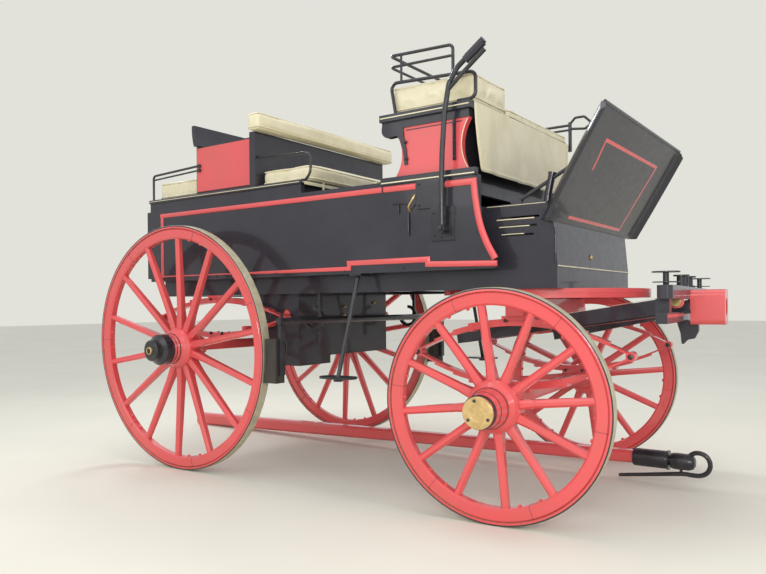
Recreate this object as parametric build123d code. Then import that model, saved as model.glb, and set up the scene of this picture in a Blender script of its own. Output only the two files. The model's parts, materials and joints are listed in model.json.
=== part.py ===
from build123d import *
from collections import namedtuple
from math import asin, cos, degrees, hypot, radians, sin
import os

# Horse drawn break: an open four-wheeled carriage with a high driving seat, a second seat that
# faces forward, a third that faces back, and a sprung fore-carriage that steers on a wheel plate.
# Millimetres. +X is the front, +Y the left side, +Z up. All is drawn from the ground point under
# the middle of the rear axle, and write() moves it to the middle of its own floor outline.

# Stance
wheelbase = 1606
camber = 2.0
rest_turn = 5.0
rear_spring_y = 408
front_spring_y = 400

# Wheels: the radius is over the tyre, tread_y the middle of the tread, and cap the hub cap's profile,
# as radius and distance out from the tread's middle
Wheel = namedtuple("Wheel", "name axle_x radius tread_y spokes first_angle nave_end_r cap")
rear_cap = [(66, 72), (70, 76), (70, 118), (48, 130), (48, 158), (43, 163), (17, 163), (17, 172)]
front_cap = [(50, 138), (50, 159), (63, 159), (63, 169), (60, 172)]
rear_wheel = Wheel("rear", 0, 585, 674, 14, 3.4, 62, rear_cap)
front_wheel = Wheel("front", wheelbase, 420, 659, 12, 24.0, 56, front_cap)
tyre_w = 45
tyre_t = 13
felloe_w = 41
felloe_depth = 50
felloe_bevel = 7
dish = 24
nave_back = 115
nave_back_r = 62
nave_belly_r = 96
nave_belly_w = 92
arm_r = 24
arm_end = 122
arm_clearance = 0.1
collar_gap = 6
collar_t = 22

# Body tub
half_w = 520
side_t = 25
tub_rear = -400
side_bottom = 915
side_top = 1285
side_front_top = 1523
side_front_bottom = 1611
side_sweep = 22
boot_rear = side_front_top - 40
floor_t = 22
boot_half_w = 430
boot_t = 22
boot_top = 1160
toe_x = 1815
toe_top_x = 1800
toe_top_z = 1082
toe_t = 24
louvres = [(1108, 1590, 1745), (1075, 1600, 1735), (1042, 1608, 1722)]
tail_gap = 3
tail_t = 26
tail_pin_x = tub_rear - tail_gap - tail_t - 4
tail_pin_z = side_bottom + 5
tail_pin_r = 6
tail_hinge_y = (-330, 330)

# Dash: the stations are shares of its height with the half width there
dash_top_x = 2026
dash_top_z = 1466
dash_stations = [(-0.07, 545), (0.35, 556), (0.7, 558), (1.0, 556)]
dash_roll_r = 70
dash_roll_angle = 55
dash_t = 14
dash_corner = 28
dash_stay_foot_x = 1655
dash_stay_reach = 0.6

# Underframe
sill_w = 45
sill_bottom = 838
crossbar_w = 60

# Driving seat
riser_half_w = 500
riser_rear = 1133
riser_front = 1495
riser_waist_rear = 1184
riser_waist_front = 1461
riser_t = 24
seat_board_bottom = 1500
seat_board_top = 1560
seat_board_rear = 1086
seat_board_front = 1507
cushion_rear = 1142
cushion_front = 1512
driver_cushion_top = 1672
mate_cushion_top = 1604
driver_half = 200
fall_bottom = 1296
rail_r = 7
rail_y = riser_half_w + 4
rail_end_y = -40
end_loop_rise = 128
rail_rise = 112
rail_step = 46
arm_front = 1427
mate_loop_rise = 99

# Rear seats
bench_front = 655
bench_top = 1345
bench_board_t = 20
bench_nosing = 10
back_box_rear = -62
back_box_front = 335
back_box_top = 1585
middle_back_t = 38
middle_back_top = 1602
roll_top = 1690
roll_depth = 74
bench_cushion_top = 1434
bench_cushion_half = 492
rear_rail_rises = (121, 143)
arm_iron_path = [(0, 139), (292, 139), (312, 60), (276, 33), (276, 0)]

# Gear under the body
under_box_rear = 215
under_box_front = 490
under_box_half = 372
under_box_bottom = 533
step_x = 953
step_y = 640
step_z = 482
brake_x = 672
brake_gap = 16
brake_z = 545
brake_beam_z = 716
brake_hanger_y = 400
lever_x = 1400
lever_z = 1072
lever_path = [(0, 0), (0, 184), (4, 294), (16, 446), (37, 553), (74, 606), (186, 687)]
lever_plates = [(1268, 1398, 1160, 1272), (1335, 1440, 1030, 1160)]

# Fore-carriage
plate_r = 412
plate_w = 48
plate_t = 18
plate_gap = 0.5
bed_bottom = 735
kingpin_r = 18
plate_lug_angle = 150
plate_lug_r = 26
splinter_x = wheelbase + 544
splinter_half = 490
splinter_z = 820
lower_bar_top = 745
lower_bar_bottom = 708
socket_rear = splinter_x + 26
socket_front = splinter_x + 148
socket_z = 762
socket_half = 62
socket_bore_r = 34
socket_depth = 105

# Draught pole: its rear end lies on the ground, and its front is held up by the hook's tail
pole_rear = -1000
pole_rear_y = 329
pole_length = 2882
pole_rear_half = 36
pole_front_half = 27
pole_heading = -0.78
pole_rise = 1.36
ferrule_r = 26.5

nodes = {}


def block(x0, x1, y0, y1, z0, z1):
    """A rectangular block between two corners."""
    middle = Pos((x0 + x1) / 2, (y0 + y1) / 2, (z0 + z1) / 2)
    return middle * Box(x1 - x0, y1 - y0, z1 - z0)


def board(outline, y0, y1):
    """A board whose outline is a list of (x, z) corners, from y0 to y1."""
    edge = Polyline([(x, y0, z) for x, z in outline], close=True)
    return extrude(make_face(edge), amount=y1 - y0, dir=(0, 1, 0))


def plank(outline, z0, z1):
    """A plank whose outline is a list of (x, y) corners, from z0 to z1."""
    edge = Polyline([(x, y, z0) for x, y in outline], close=True)
    return extrude(make_face(edge), amount=z1 - z0, dir=(0, 0, 1))


def cross_pin(x, y0, y1, z, radius):
    """A round pin that lies across the carriage from y0 to y1."""
    return Pos(x, (y0 + y1) / 2, z) * Rot(X=90) * Cylinder(radius, abs(y1 - y0))


def post(x, y, z0, z1, radius):
    """An upright round post."""
    return Pos(x, y, (z0 + z1) / 2) * Cylinder(radius, z1 - z0)


def rod(points, radius, bend):
    """A round iron rod along the points, with each corner bent to the radius."""
    path = FilletPolyline(*points, radius=bend) if len(points) > 2 else Line(*points)
    return sweep(Plane(origin=path @ 0, z_dir=path % 0) * Circle(radius), path=path)


def strut(start, end, width, depth):
    """A straight bar of rectangular section between two points."""
    path = Line(start, end)
    frame = Plane(origin=start, x_dir=(0, 1, 0), z_dir=path % 0)
    return extrude(frame * Rectangle(width, depth), amount=path.length)


def both_sides(shape):
    """The piece and its mirror image on the other side."""
    return [shape, mirror(shape, Plane.XZ)]


def on_body(name, *shapes):
    """Keep a node that stays with the body."""
    nodes[name] = list(shapes)


def on_fore_carriage(name, *shapes):
    """Keep a node of the fore-carriage, turned with it about the kingpin."""
    kingpin = Pos(wheelbase, 0, 0)
    turn = kingpin * Rot(Z=rest_turn) * kingpin.inverse()
    nodes[name] = [turn * shape for shape in shapes]


# Wheels, drawn with the axle along +Y, its outer end at +Y, and the tread's middle at the origin

def ring(outer, inner, width, bevel=0):
    """A flat ring round the wheel's axle, with its inner and outer edges bevelled."""
    half = width / 2
    section = Polyline(
        (inner, -half + bevel), (inner + bevel, -half), (outer - bevel, -half), (outer, -half + bevel),
        (outer, half - bevel), (outer - bevel, half), (inner + bevel, half), (inner, half - bevel),
        close=True) if bevel else Polyline((inner, -half), (outer, -half), (outer, half), (inner, half),
                                           close=True)
    return revolve(make_face(section), Axis.Y)


def octagon(width, depth, corner, y, z):
    """A level octagonal section of a spoke, at the height z and moved y along the axle."""
    w, d = width / 2, depth / 2
    points = [(w, -d + corner), (w, d - corner), (w - corner, d), (corner - w, d),
              (-w, d - corner), (-w, corner - d), (corner - w, -d), (w - corner, -d)]
    return make_face(Polyline([(px, y + py, z) for px, py in points], close=True))


def spoke(wheel):
    """One spoke, broad at its foot in the nave, thin at the throat, and leaning out to the felloe."""
    foot = nave_belly_r - 12
    rim = wheel.radius - tyre_t - felloe_depth + 8
    throat = foot + 0.22 * (rim - foot)
    lean = [(foot, -dish), (throat, -dish * 0.78), (rim, 0)]
    sizes = [(36, 56, 8), (29, 44, 9), (27, 32, 8)]
    sections = [octagon(w, d, c, y, z) for (z, y), (w, d, c) in zip(lean, sizes)]
    return loft(sections, ruled=True)


def nave(wheel):
    """The turned nave with its belly where the spokes stand, bored for the axle arm."""
    bore = arm_r + arm_clearance
    belly = -dish
    end = wheel.cap[0][1]
    half = nave_belly_w / 2
    profile = [(bore, -nave_back), (nave_back_r - 6, -nave_back), (nave_back_r, -nave_back + 6),
               (nave_back_r + 4, belly - half - 12), (nave_belly_r - 8, belly - half),
               (nave_belly_r, belly - half + 12), (nave_belly_r, belly + half - 12),
               (nave_belly_r - 8, belly + half), (nave_belly_r - 22, belly + half + 14),
               (wheel.nave_end_r, end - 6), (wheel.nave_end_r, end), (bore, end)]
    return revolve(make_face(Polyline(profile, close=True)), Axis.Y)


def wheel_wood(wheel):
    """Nave, spokes and felloes, framed into one."""
    felloes = ring(wheel.radius - tyre_t, wheel.radius - tyre_t - felloe_depth, felloe_w, felloe_bevel)
    step = 360 / wheel.spokes
    spokes = [Rot(Y=wheel.first_angle + i * step) * spoke(wheel) for i in range(wheel.spokes)]
    return felloes + nave(wheel) + spokes


def wheel_cap(wheel):
    """The turned hub cap on the nave's outer end, hollow where the axle arm reaches into it."""
    start = wheel.cap[0][1]
    profile = [(0, start)] + wheel.cap + [(0, wheel.cap[-1][1])]
    cap = revolve(make_face(Polyline(profile, close=True)), Axis.Y)
    arm_room = arm_end + 8 - start
    if arm_room > 0:
        cap -= Pos(0, start + arm_room / 2, 0) * Rot(X=90) * Cylinder(arm_r + 6, arm_room)
    return cap


def axle_arm():
    """The axle arm in the nave and the collar behind it, in the wheel's own frame."""
    back = -nave_back - collar_gap - collar_t - 40
    length = arm_end - back
    arm = Pos(0, back + length / 2, 0) * Rot(X=90) * Cylinder(arm_r, length)
    collar = Pos(0, -nave_back - collar_gap - collar_t / 2, 0) * Rot(X=90) * Cylinder(44, collar_t)
    return arm + collar


def axle_height(wheel):
    """The height of the wheel's centre when its leaning tread stands on the ground."""
    lean = radians(camber)
    return wheel.radius * cos(lean) + tyre_w / 2 * sin(lean)


def stand(wheel):
    """Where the left wheel stands: its centre, leaning outwards at the top."""
    return Pos(wheel.axle_x, wheel.tread_y, axle_height(wheel)) * Rot(X=-camber)


def axle_beam_height(wheel):
    """The height of the beam's middle, where the sloping arms meet it."""
    return axle_height(wheel) + (nave_back + collar_gap + collar_t) * sin(radians(camber))


def axle(wheel, size):
    """A square axle beam with its two canted arms."""
    reach = wheel.tread_y - nave_back - collar_gap - collar_t + 8
    z = axle_beam_height(wheel)
    beam = block(wheel.axle_x - size / 2, wheel.axle_x + size / 2, -reach, reach, z - size / 2, z + size / 2)
    return beam + both_sides(stand(wheel) * axle_arm())


def add_wheels(wheel, keep):
    """The four nodes of a pair of wheels: the wood, the tyre and the cap of each."""
    tyre = ring(wheel.radius, wheel.radius - tyre_t, tyre_w, 2)
    pieces = {"wheel": wheel_wood(wheel), "tyre": tyre, "hub_cap": wheel_cap(wheel)}
    for piece, shape in pieces.items():
        left = stand(wheel) * shape
        keep(f"{wheel.name}_left_{piece}", left)
        keep(f"{wheel.name}_right_{piece}", mirror(left, Plane.XZ))


# Springs

def leaf(centre_z, radius, thickness, half_angle):
    """One leaf: a strip between two arcs about the same centre, below it."""
    inner = CenterArc((0, centre_z), radius, 270 - half_angle, 2 * half_angle)
    outer = CenterArc((0, centre_z), radius + thickness, 270 - half_angle, 2 * half_angle)
    return make_face([inner, outer, Line(inner @ 0, outer @ 0), Line(inner @ 1, outer @ 1)])


def elliptic_spring(half_span, arch, width, leaves=4, thickness=7, eye_r=17):
    """Two bowed packs of leaves, pinned together at the eyes. The eyes are level with z = 0."""
    radius = (half_span ** 2 + arch ** 2) / (2 * arch)
    full = degrees(asin(half_span / radius))
    pack = leaf(radius - arch, radius, thickness, full)
    for i in range(1, leaves):
        pack += leaf(radius - arch, radius + i * thickness, thickness, full * (1 - 0.2 * i))
    lower = extrude(Plane.XZ * pack, amount=width / 2, both=True)
    eyes = [Pos(x, 0, 0) * Rot(X=90) * Cylinder(eye_r, width) for x in (-half_span, half_span)]
    return lower + mirror(lower, Plane.XY) + eyes


def spring_pair(x, y, low, high, half_span, width, leaves=4, thickness=7):
    """The springs of both sides between the heights low and high, with their clip plates."""
    clip = 10
    arch = (high - low) / 2 - leaves * thickness - clip
    middle = Pos(x, y, (low + high) / 2)
    spring = middle * elliptic_spring(half_span, arch, width, leaves, thickness)
    clips = [block(x - 55, x + 55, y - width / 2 - 8, y + width / 2 + 8, z, z + clip + thickness * 0.6)
             for z in (low, high - clip - thickness * 0.6)]
    return both_sides(spring + clips)


# Body

def side_panels():
    """The tub's two sides, with a front edge that curves down, and a cap rail under the driving seat."""
    rear_top = (tub_rear, side_top)
    rear_bottom = (tub_rear, side_bottom)
    front_top = (side_front_top, side_top)
    front_bottom = (side_front_bottom, side_bottom)
    sweep_mid = (side_front_top + side_sweep, (side_top + side_bottom) / 2)
    edge = [Line(rear_bottom, rear_top), Line(rear_top, front_top),
            ThreePointArc(front_top, sweep_mid, front_bottom), Line(front_bottom, rear_bottom)]
    panel = extrude(Plane.XZ.offset(-half_w + side_t) * make_face(edge), amount=-side_t)
    cap_rail = block(riser_rear - 38, side_front_top + 7, riser_half_w, half_w + 8,
                     side_top - 13, side_top + 15)
    return both_sides(panel + cap_rail)


def tub_floor():
    """The floor boards, wide under the tub and narrow under the boot."""
    wide = half_w - side_t
    narrow = boot_half_w - boot_t
    lean = (toe_x - toe_top_x) * floor_t / (toe_top_z - side_bottom)
    front = toe_x - toe_t - abs(lean)
    outline = [(tub_rear, -wide), (boot_rear, -wide), (boot_rear, -narrow), (front, -narrow),
               (front, narrow), (boot_rear, narrow), (boot_rear, wide), (tub_rear, wide)]
    return plank(outline, side_bottom, side_bottom + floor_t)


def boot_sides():
    """The sides of the footwell in front, each with three louvres."""
    outline = [(boot_rear, side_bottom), (toe_x - toe_t, side_bottom), (toe_top_x - toe_t, toe_top_z),
               (toe_top_x - toe_t, boot_top), (boot_rear, boot_top)]
    side = board(outline, boot_half_w - boot_t, boot_half_w)
    for z, x0, x1 in louvres:
        side -= block(x0, x1, boot_half_w - boot_t - 1, boot_half_w + 1, z - 4, z + 4)
    return both_sides(side)


def boot_shoulders():
    """The returns that close the step from the wide tub to the narrow boot."""
    outline = [(boot_rear, side_bottom), (boot_rear + boot_t, side_bottom),
               (boot_rear + boot_t, side_top), (boot_rear, side_top)]
    return both_sides(board(outline, boot_half_w, half_w - side_t))


def toe_board():
    """The board at the front of the footwell."""
    outline = [(toe_x - toe_t, side_bottom), (toe_x, side_bottom), (toe_top_x, toe_top_z),
               (toe_top_x - toe_t, toe_top_z)]
    return board(outline, -boot_half_w, boot_half_w)


def dash():
    """The dash, leaning forward, with its side edges rolled forward, its top corners cut, and two stays."""
    run = dash_top_x - toe_top_x
    rise = dash_top_z - toe_top_z
    height = hypot(run, rise)
    foot = (toe_top_x - toe_t / 2, 0, toe_top_z)
    lean = Plane(origin=foot, x_dir=(0, 1, 0), z_dir=(run, 0, rise))
    sections = [lean.offset(share * height) * dash_section(half) for share, half in dash_stations]
    panel = loft(sections, ruled=True)
    face = Plane(origin=foot, x_dir=(0, 1, 0), z_dir=(rise, 0, -run))
    half = dash_stations[-1][1] + 2
    for side in (-1, 1):
        corner = Polyline((side * half, height + 1), (side * (half - dash_corner), height + 1),
                          (side * half, height - dash_corner), close=True)
        panel -= extrude(face * make_face(corner), amount=2 * dash_roll_r, both=True)
    below = block(toe_top_x - 200, toe_top_x + 200, -half_w - 100, half_w + 100, toe_top_z - 200, toe_top_z)
    return panel - below + dash_stays()


def dash_section(half):
    """The dash's section, level across: a flat board with a roll forward at each end."""
    flat = half - dash_roll_r * sin(radians(dash_roll_angle))
    back = dash_t / 2
    edge = [Line((-flat, back), (flat, back)), Line((-flat, -back), (flat, -back))]
    for side in (-1, 1):
        centre = (side * flat, back - dash_roll_r)
        outer = CenterArc(centre, dash_roll_r, 90, -side * dash_roll_angle)
        inner = CenterArc(centre, dash_roll_r - dash_t, 90, -side * dash_roll_angle)
        edge += [outer, inner, Line(outer @ 1, inner @ 1)]
    return make_face(edge)


def dash_stays():
    """The two iron stays behind the dash, each on a pad on the boot's side."""
    y = boot_half_w - boot_t / 2
    x = dash_stay_foot_x
    head_x = toe_top_x - toe_t / 2 + dash_stay_reach * (dash_top_x - toe_top_x)
    head_z = toe_top_z + dash_stay_reach * (dash_top_z - toe_top_z)
    pad = block(x - 24, x + 18, y - boot_t / 2, y + boot_t / 2, boot_top, boot_top + 14)
    return both_sides(pad + rod([(x, y, boot_top + 8), (head_x, y, head_z)], 7, 1))


def tailboard():
    """The board that closes the tub's rear and lets down as a footboard for the rear seat."""
    face = tub_rear - tail_gap - tail_t
    panel = block(face, tub_rear - tail_gap, -half_w + 2, half_w - 2, tail_pin_z + 11, side_top - 2)
    pin_hole = cross_pin(tail_pin_x, -half_w, half_w, tail_pin_z, tail_pin_r + 0.1)
    for y in tail_hinge_y:
        strap = block(face - 4, face, y - 13, y + 13, tail_pin_z, tail_pin_z + 190)
        panel += strap + cross_pin(tail_pin_x, y - 13, y + 13, tail_pin_z, 10)
    return panel - pin_hole


def tail_hinges():
    """The hinge brackets on the rear crossbar, each with two ears and a pin for the tailboard."""
    brackets = []
    for y in tail_hinge_y:
        foot = block(tail_pin_x - 8, tub_rear, y - 26, y + 26, tail_pin_z - 22, tail_pin_z - 12)
        ears = []
        for y0, y1 in ((y - 26, y - 15), (y + 15, y + 26)):
            ears.append(cross_pin(tail_pin_x, y0, y1, tail_pin_z, 8))
            ears.append(block(tail_pin_x - 8, tail_pin_x + 8, y0, y1, tail_pin_z - 22, tail_pin_z))
        brackets.append(foot + ears + cross_pin(tail_pin_x, y - 26, y + 26, tail_pin_z, tail_pin_r))
    return brackets


def mouldings():
    """The painted beads that frame each side panel."""
    bead = 20
    proud = 5
    top = side_top - 18
    low = side_bottom + 32
    rear = tub_rear + 12
    rise = (760, 1235, 34)
    top_bead = block(rear, side_front_top - 8, half_w, half_w + proud, top - bead, top)
    rear_bead = block(rear, rear + bead, half_w, half_w + proud, low, top)
    x0, x1, up = rise
    path = [(rear, low), (x0, low), (x0, low + up), (x1, low + up), (x1, low + 8),
            (side_front_bottom - 4, low + 8), (side_front_bottom - 4, low - bead + 8),
            (x1 - bead, low - bead + 8), (x1 - bead, low + up - bead), (x0 + bead, low + up - bead),
            (x0 + bead, low - bead), (rear, low - bead)]
    low_bead = board(path, half_w, half_w + proud)
    curve = ThreePointArc((side_front_top - 8, top), (side_front_top + 12, (top + low) / 2),
                          (side_front_bottom - 24, low))
    back = ThreePointArc((side_front_top - 8 - bead, top), (side_front_top + 12 - bead, (top + low) / 2),
                         (side_front_bottom - 24 - bead, low))
    strip = make_face([curve, back, Line(curve @ 0, back @ 0), Line(curve @ 1, back @ 1)])
    front_bead = extrude(Plane.XZ.offset(-half_w) * strip, amount=-proud)
    left, right = both_sides(top_bead + rear_bead + low_bead + front_bead)
    return [left, right - lever_plate()]


# Underframe

def sills():
    """The two long members under the tub."""
    outer = boot_half_w
    return both_sides(block(tub_rear, toe_x - 30, outer - sill_w, outer, sill_bottom, side_bottom))


def crossbars():
    """The bars between the sills, and the front bar below the toe board."""
    inner = boot_half_w - sill_w
    bars = [block(x, x + crossbar_w, -inner, inner, sill_bottom, side_bottom)
            for x in (tub_rear, -crossbar_w / 2, under_box_front + 40, 1215)]
    centre = block(wheelbase - 50, wheelbase + 50, -inner, inner, sill_bottom, side_bottom)
    centre -= post(wheelbase, 0, sill_bottom - 1, side_bottom + 1, kingpin_r + 0.1)
    front = block(toe_x - 30, toe_x - 2, -boot_half_w, boot_half_w, sill_bottom, side_bottom)
    return bars + [centre, front]


def under_box():
    """The box slung under the floor between the rear springs, deeper on the right side."""
    half = under_box_half
    box = block(under_box_rear, under_box_front, -half, half, under_box_bottom, side_bottom)
    deep = block(under_box_rear, under_box_front + 15, -half, -140, under_box_bottom - 38, sill_bottom)
    return box + deep


# Driving seat

def seat_risers():
    """The two waisted end panels under the driving seat."""
    waist_z = 1400
    head_z = seat_board_bottom
    back = ThreePointArc((riser_rear, side_top), (riser_waist_rear, waist_z), (riser_rear + 3, head_z))
    front = ThreePointArc((riser_front, side_top), (riser_waist_front, waist_z), (riser_front, head_z))
    face = make_face([back, front, Line(back @ 0, front @ 0), Line(back @ 1, front @ 1)])
    return both_sides(extrude(Plane.XZ.offset(-riser_half_w + riser_t) * face, amount=-riser_t))


def riser_boards():
    """The boards across the riser, front and back, between the end panels."""
    inner = riser_half_w - riser_t
    boards = []
    for x in (riser_waist_rear + 8, riser_waist_front - 30):
        boards.append(block(x, x + 22, -inner, inner, side_top - 60, seat_board_bottom))
    return boards


def front_seat_board():
    """The driving seat's board, with its rim, its scrolled corbels and its iron stays."""
    seat = block(seat_board_rear, seat_board_front, -half_w, half_w, seat_board_bottom + 32, seat_board_top)
    rim = block(seat_board_rear + 14, seat_board_front - 12, -half_w + 14, half_w - 14,
                seat_board_bottom, seat_board_bottom + 32)
    stay = block(riser_front - 72, riser_front - 59, riser_half_w, riser_half_w + 6,
                 side_top + 55, seat_board_bottom + 2)
    return seat + rim + corbels() + both_sides(stay)


def corbels():
    """The scrolls under the driving seat's rear corners, each running down the riser as an iron stay."""
    top = seat_board_bottom + 34
    scroll = ThreePointArc((seat_board_rear + 2, 1506), (seat_board_rear + 10, 1479), (riser_rear - 10, 1468))
    front = [(riser_rear + 30, 1471), (1177, 1453), (1191, 1410), (1198, 1348), (1213, 1348), (1207, 1412),
             (1196, 1460), (1190, top), (seat_board_rear + 6, top), (seat_board_rear + 2, 1506)]
    edge = [scroll, Line(scroll @ 1, front[0])] + [Line(a, b) for a, b in zip(front, front[1:])]
    corbel = extrude(Plane.XZ.offset(-riser_half_w + riser_t) * make_face(edge), amount=-riser_t - 6)
    riser = seat_risers()[0]
    return both_sides(corbel - riser)


def cushions():
    """The driver's raised cushion on the right and the companion's lower one."""
    end = riser_half_w - 12
    driver = block(cushion_rear, cushion_front, -end, -driver_half, seat_board_top, driver_cushion_top)
    mate = block(cushion_rear, cushion_front, -driver_half + 8, end, seat_board_top, mate_cushion_top)
    return fillet(driver.edges(), 26), fillet(mate.edges(), 20)


def seat_fall():
    """The leather fall that hangs from the front of the driving seat and narrows to its foot."""
    right = [(riser_half_w - 12, seat_board_top), (riser_half_w - 20, seat_board_bottom - 20),
             (riser_half_w - 56, fall_bottom + 22), (riser_half_w - 76, fall_bottom)]
    outline = right + [(-y, z) for y, z in reversed(right)]
    edge = Polyline([(seat_board_front, y, z) for y, z in outline], close=True)
    return extrude(make_face(edge), amount=8, dir=(1, 0, 0))


def seat_room():
    """The room that the driving seat's board takes, which its irons are fitted to."""
    return block(seat_board_rear, seat_board_front, -half_w, half_w, seat_board_bottom, seat_board_top)


def driver_iron():
    """The loop at the driver's end, and the two rails that run from above it round behind the driver."""
    y = -rail_y
    rear = cushion_rear - 7
    front = cushion_front + 12
    foot = seat_board_top + rail_r - 0.5
    loop_top = seat_board_top + end_loop_rise
    rail_top = loop_top + rail_rise
    rail_mid = rail_top - rail_step
    loop = rod([(rear + 24, y, seat_board_top - 6), (rear, y, loop_top), (front, y, loop_top - 20),
                (front, y, foot), (seat_board_front - 60, y, foot)], rail_r, 26)
    top = rod([(rear, rail_end_y, seat_board_top), (rear, rail_end_y, rail_top), (rear, y, rail_top),
               (arm_front, y, rail_top - 12), (arm_front, y, loop_top - 15)], rail_r - 0.5, 20)
    middle = rod([(rear, rail_end_y, rail_mid), (rear, y, rail_mid), (arm_front, y, rail_mid - 8)],
                 rail_r - 1.5, 20)
    prop = post(rear + 52, y, loop_top - 3, rail_top - 3, rail_r - 2)
    return loop + top + middle + prop - seat_room()


def companion_iron():
    """The lower loop at the companion's end: two rods, a front post and a hooped hand hold."""
    y = rail_y
    rear = cushion_rear - 7
    top = seat_board_top + mate_loop_rise
    front = seat_board_front + 8
    loop = rod([(rear + 24, y, seat_board_top - 6), (rear, y, top), (front, y, top)], rail_r - 0.5, 26)
    lower = rod([(rear + 6, y, top - 23), (front, y, top - 23)], rail_r - 1.5, 1)
    hold = rod([(front, y, top + 6), (front + 26, y, top + 33), (front + 72, y, top + 33),
                (front + 110, y, top - 4), (front + 76, y, top - 27), (front, y, top - 18)], rail_r - 1, 14)
    stand_post = post(front, y, seat_board_bottom + 28, top + 14, rail_r + 1.5)
    return loop + lower + hold + stand_post - seat_room()


# Rear seats

def bench():
    """The frame across the tub that carries the middle and rear seats, with a rounded nosing."""
    skirt = 18
    edge = half_w + bench_nosing
    top = block(tub_rear, bench_front + bench_nosing, -edge, edge, bench_top - bench_board_t, bench_top)
    nosing = top.edges().filter_by(Axis.X) + top.edges().filter_by(Axis.Y).sort_by(Axis.X)[-2:]
    top = fillet(nosing, bench_board_t / 2 - 1)
    sides = both_sides(block(tub_rear, bench_front, half_w - side_t, half_w,
                             side_top, bench_top - bench_board_t))
    front = block(bench_front - skirt - 30, bench_front - 30, -half_w + side_t, half_w - side_t,
                  side_bottom + floor_t, bench_top - bench_board_t)
    rear = block(tub_rear, tub_rear + skirt, -half_w + side_t, half_w - side_t,
                 side_bottom + floor_t, bench_top - bench_board_t)
    return top + sides + front + rear


def back_box():
    """The box between the two seat backs, open to nothing, with a flat lid."""
    wall = 18
    end = riser_half_w - 4
    outer = block(back_box_rear, back_box_front, -end, end, bench_top, back_box_top)
    inner = block(back_box_rear + wall, back_box_front - wall, -end + wall, end - wall,
                  bench_top - 1, back_box_top - wall)
    return outer - inner


def back_box_panels():
    """The painted panels on the ends of the box."""
    end = riser_half_w - 4
    panel = block(back_box_rear + 8, back_box_front - 8, end, end + 5, bench_top + 14, back_box_top - 8)
    return both_sides(panel)


def middle_back():
    """The middle seat's back board."""
    return block(back_box_front, back_box_front + middle_back_t, -half_w, half_w, bench_top, middle_back_top)


def middle_roll():
    """The padded roll on top of the middle seat's back."""
    x0 = back_box_front + 6
    roll = block(x0, x0 + roll_depth, -half_w - 26, half_w + 26, middle_back_top, roll_top)
    return fillet(roll.edges(), 24)


def rear_roll():
    """The rear seat's back, a hollow-faced rail that leans over the box."""
    x = back_box_rear
    middle_z = (back_box_top + roll_top) / 2
    face = ThreePointArc((x + 8, back_box_top), (x - 4, middle_z), (x - 6, roll_top))
    back = ThreePointArc((x + 40, back_box_top), (x + 24, middle_z), (x + 14, roll_top))
    section = make_face([face, back, Line(face @ 0, back @ 0), Line(face @ 1, back @ 1)])
    return extrude(Plane.XZ.offset(-half_w) * section, amount=2 * half_w)


def bench_cushions():
    """The cushions of the middle seat and of the rear seat, in that order."""
    middle = block(back_box_front + middle_back_t + 4, bench_front + 32, -bench_cushion_half,
                   bench_cushion_half, bench_top, bench_cushion_top)
    rear = block(tub_rear + 24, back_box_rear - 4, -bench_cushion_half, bench_cushion_half,
                 bench_top, bench_cushion_top + 16)
    return fillet(middle.edges(), 22), fillet(rear.edges(), 22)


def rear_rails():
    """The double rails at the ends of the rear seat, on one leg, each with an eye on the box's end."""
    y = riser_half_w + rail_r
    x = back_box_rear + 30
    leg_x = tub_rear + 12
    lower, upper = [bench_top + rise for rise in rear_rail_rises]
    top = rod([(x, y, upper), (leg_x, y, upper - 14), (leg_x, y, bench_top)], rail_r - 1, 18)
    middle = rod([(x, y, lower), (leg_x, y, lower - 14)], rail_r - 2.5, 18)
    eyes = [cross_pin(x, riser_half_w + 1, y + 4, z, 9) for z in (lower, upper)]
    return both_sides(top + middle + eyes)


def middle_arm_irons():
    """The arm irons at the ends of the middle seat."""
    y = riser_half_w + 4
    x = back_box_front + middle_back_t
    path = [(x + ahead, y, bench_top + rise) for ahead, rise in arm_iron_path]
    return both_sides(rod(path, rail_r - 1, 14))


# Steps, brake and lever

def side_steps():
    """The step plates below the tub's sides, each on one iron from a flange under the floor's edge."""
    tread = Pos(step_x, step_y, step_z) * extrude(SlotOverall(175, 92), amount=8)
    boss = post(step_x, step_y, step_z - 12, step_z, 20)
    flange = block(step_x - 30, step_x + 30, boot_half_w + 22, half_w, side_bottom - 8, side_bottom)
    iron = rod([(step_x, half_w - 23, side_bottom - 4), (step_x, half_w + 15, side_bottom - 115),
                (step_x, step_y, step_z + 4)], 9, 60)
    return both_sides(tread + boss + flange + iron)


def brake_hanger(y):
    """A hanger of the brake beam: an upright under the sill, and a hook open to the upper rear."""
    centre_x = brake_x - 52
    centre_z = brake_beam_z + 6
    upright = block(brake_x - 20, brake_x - 6, y - 8, y + 8, brake_beam_z - 106, sill_bottom)
    hook = Pos(centre_x, y, centre_z) * Rot(X=90) * (Cylinder(58, 16) - Cylinder(42, 18))
    mouth = block(centre_x - 70, centre_x, y - 10, y + 10, centre_z, centre_z + 70)
    return upright + (hook - mouth)


def brake_beam():
    """The round beam across the chassis that carries the brake blocks, with its two hangers."""
    y = rear_wheel.tread_y
    beam = rod([(brake_x, -y - 18, brake_beam_z), (brake_x, y + 18, brake_beam_z)], 15, 1)
    hangers = [brake_hanger(s * brake_hanger_y) for s in (-1, 1)]
    arms = [block(brake_x - 9, brake_x + 9, s * y - 12, s * y + 12, brake_z - 60, brake_beam_z)
            for s in (-1, 1)]
    return beam + hangers + arms


def brake_blocks():
    """The blocks that press on the rear tyres, hollowed to the tyre's radius."""
    y = rear_wheel.tread_y
    block_face = Pos(0, y, axle_height(rear_wheel)) * Rot(X=-camber) * Rot(X=90) * Cylinder(
        rear_wheel.radius + brake_gap, 200)
    blank = block(rear_wheel.radius - 60, brake_x - 9, y - 26, y + 26, brake_z - 95, brake_z + 95)
    return both_sides(blank - block_face)


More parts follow.
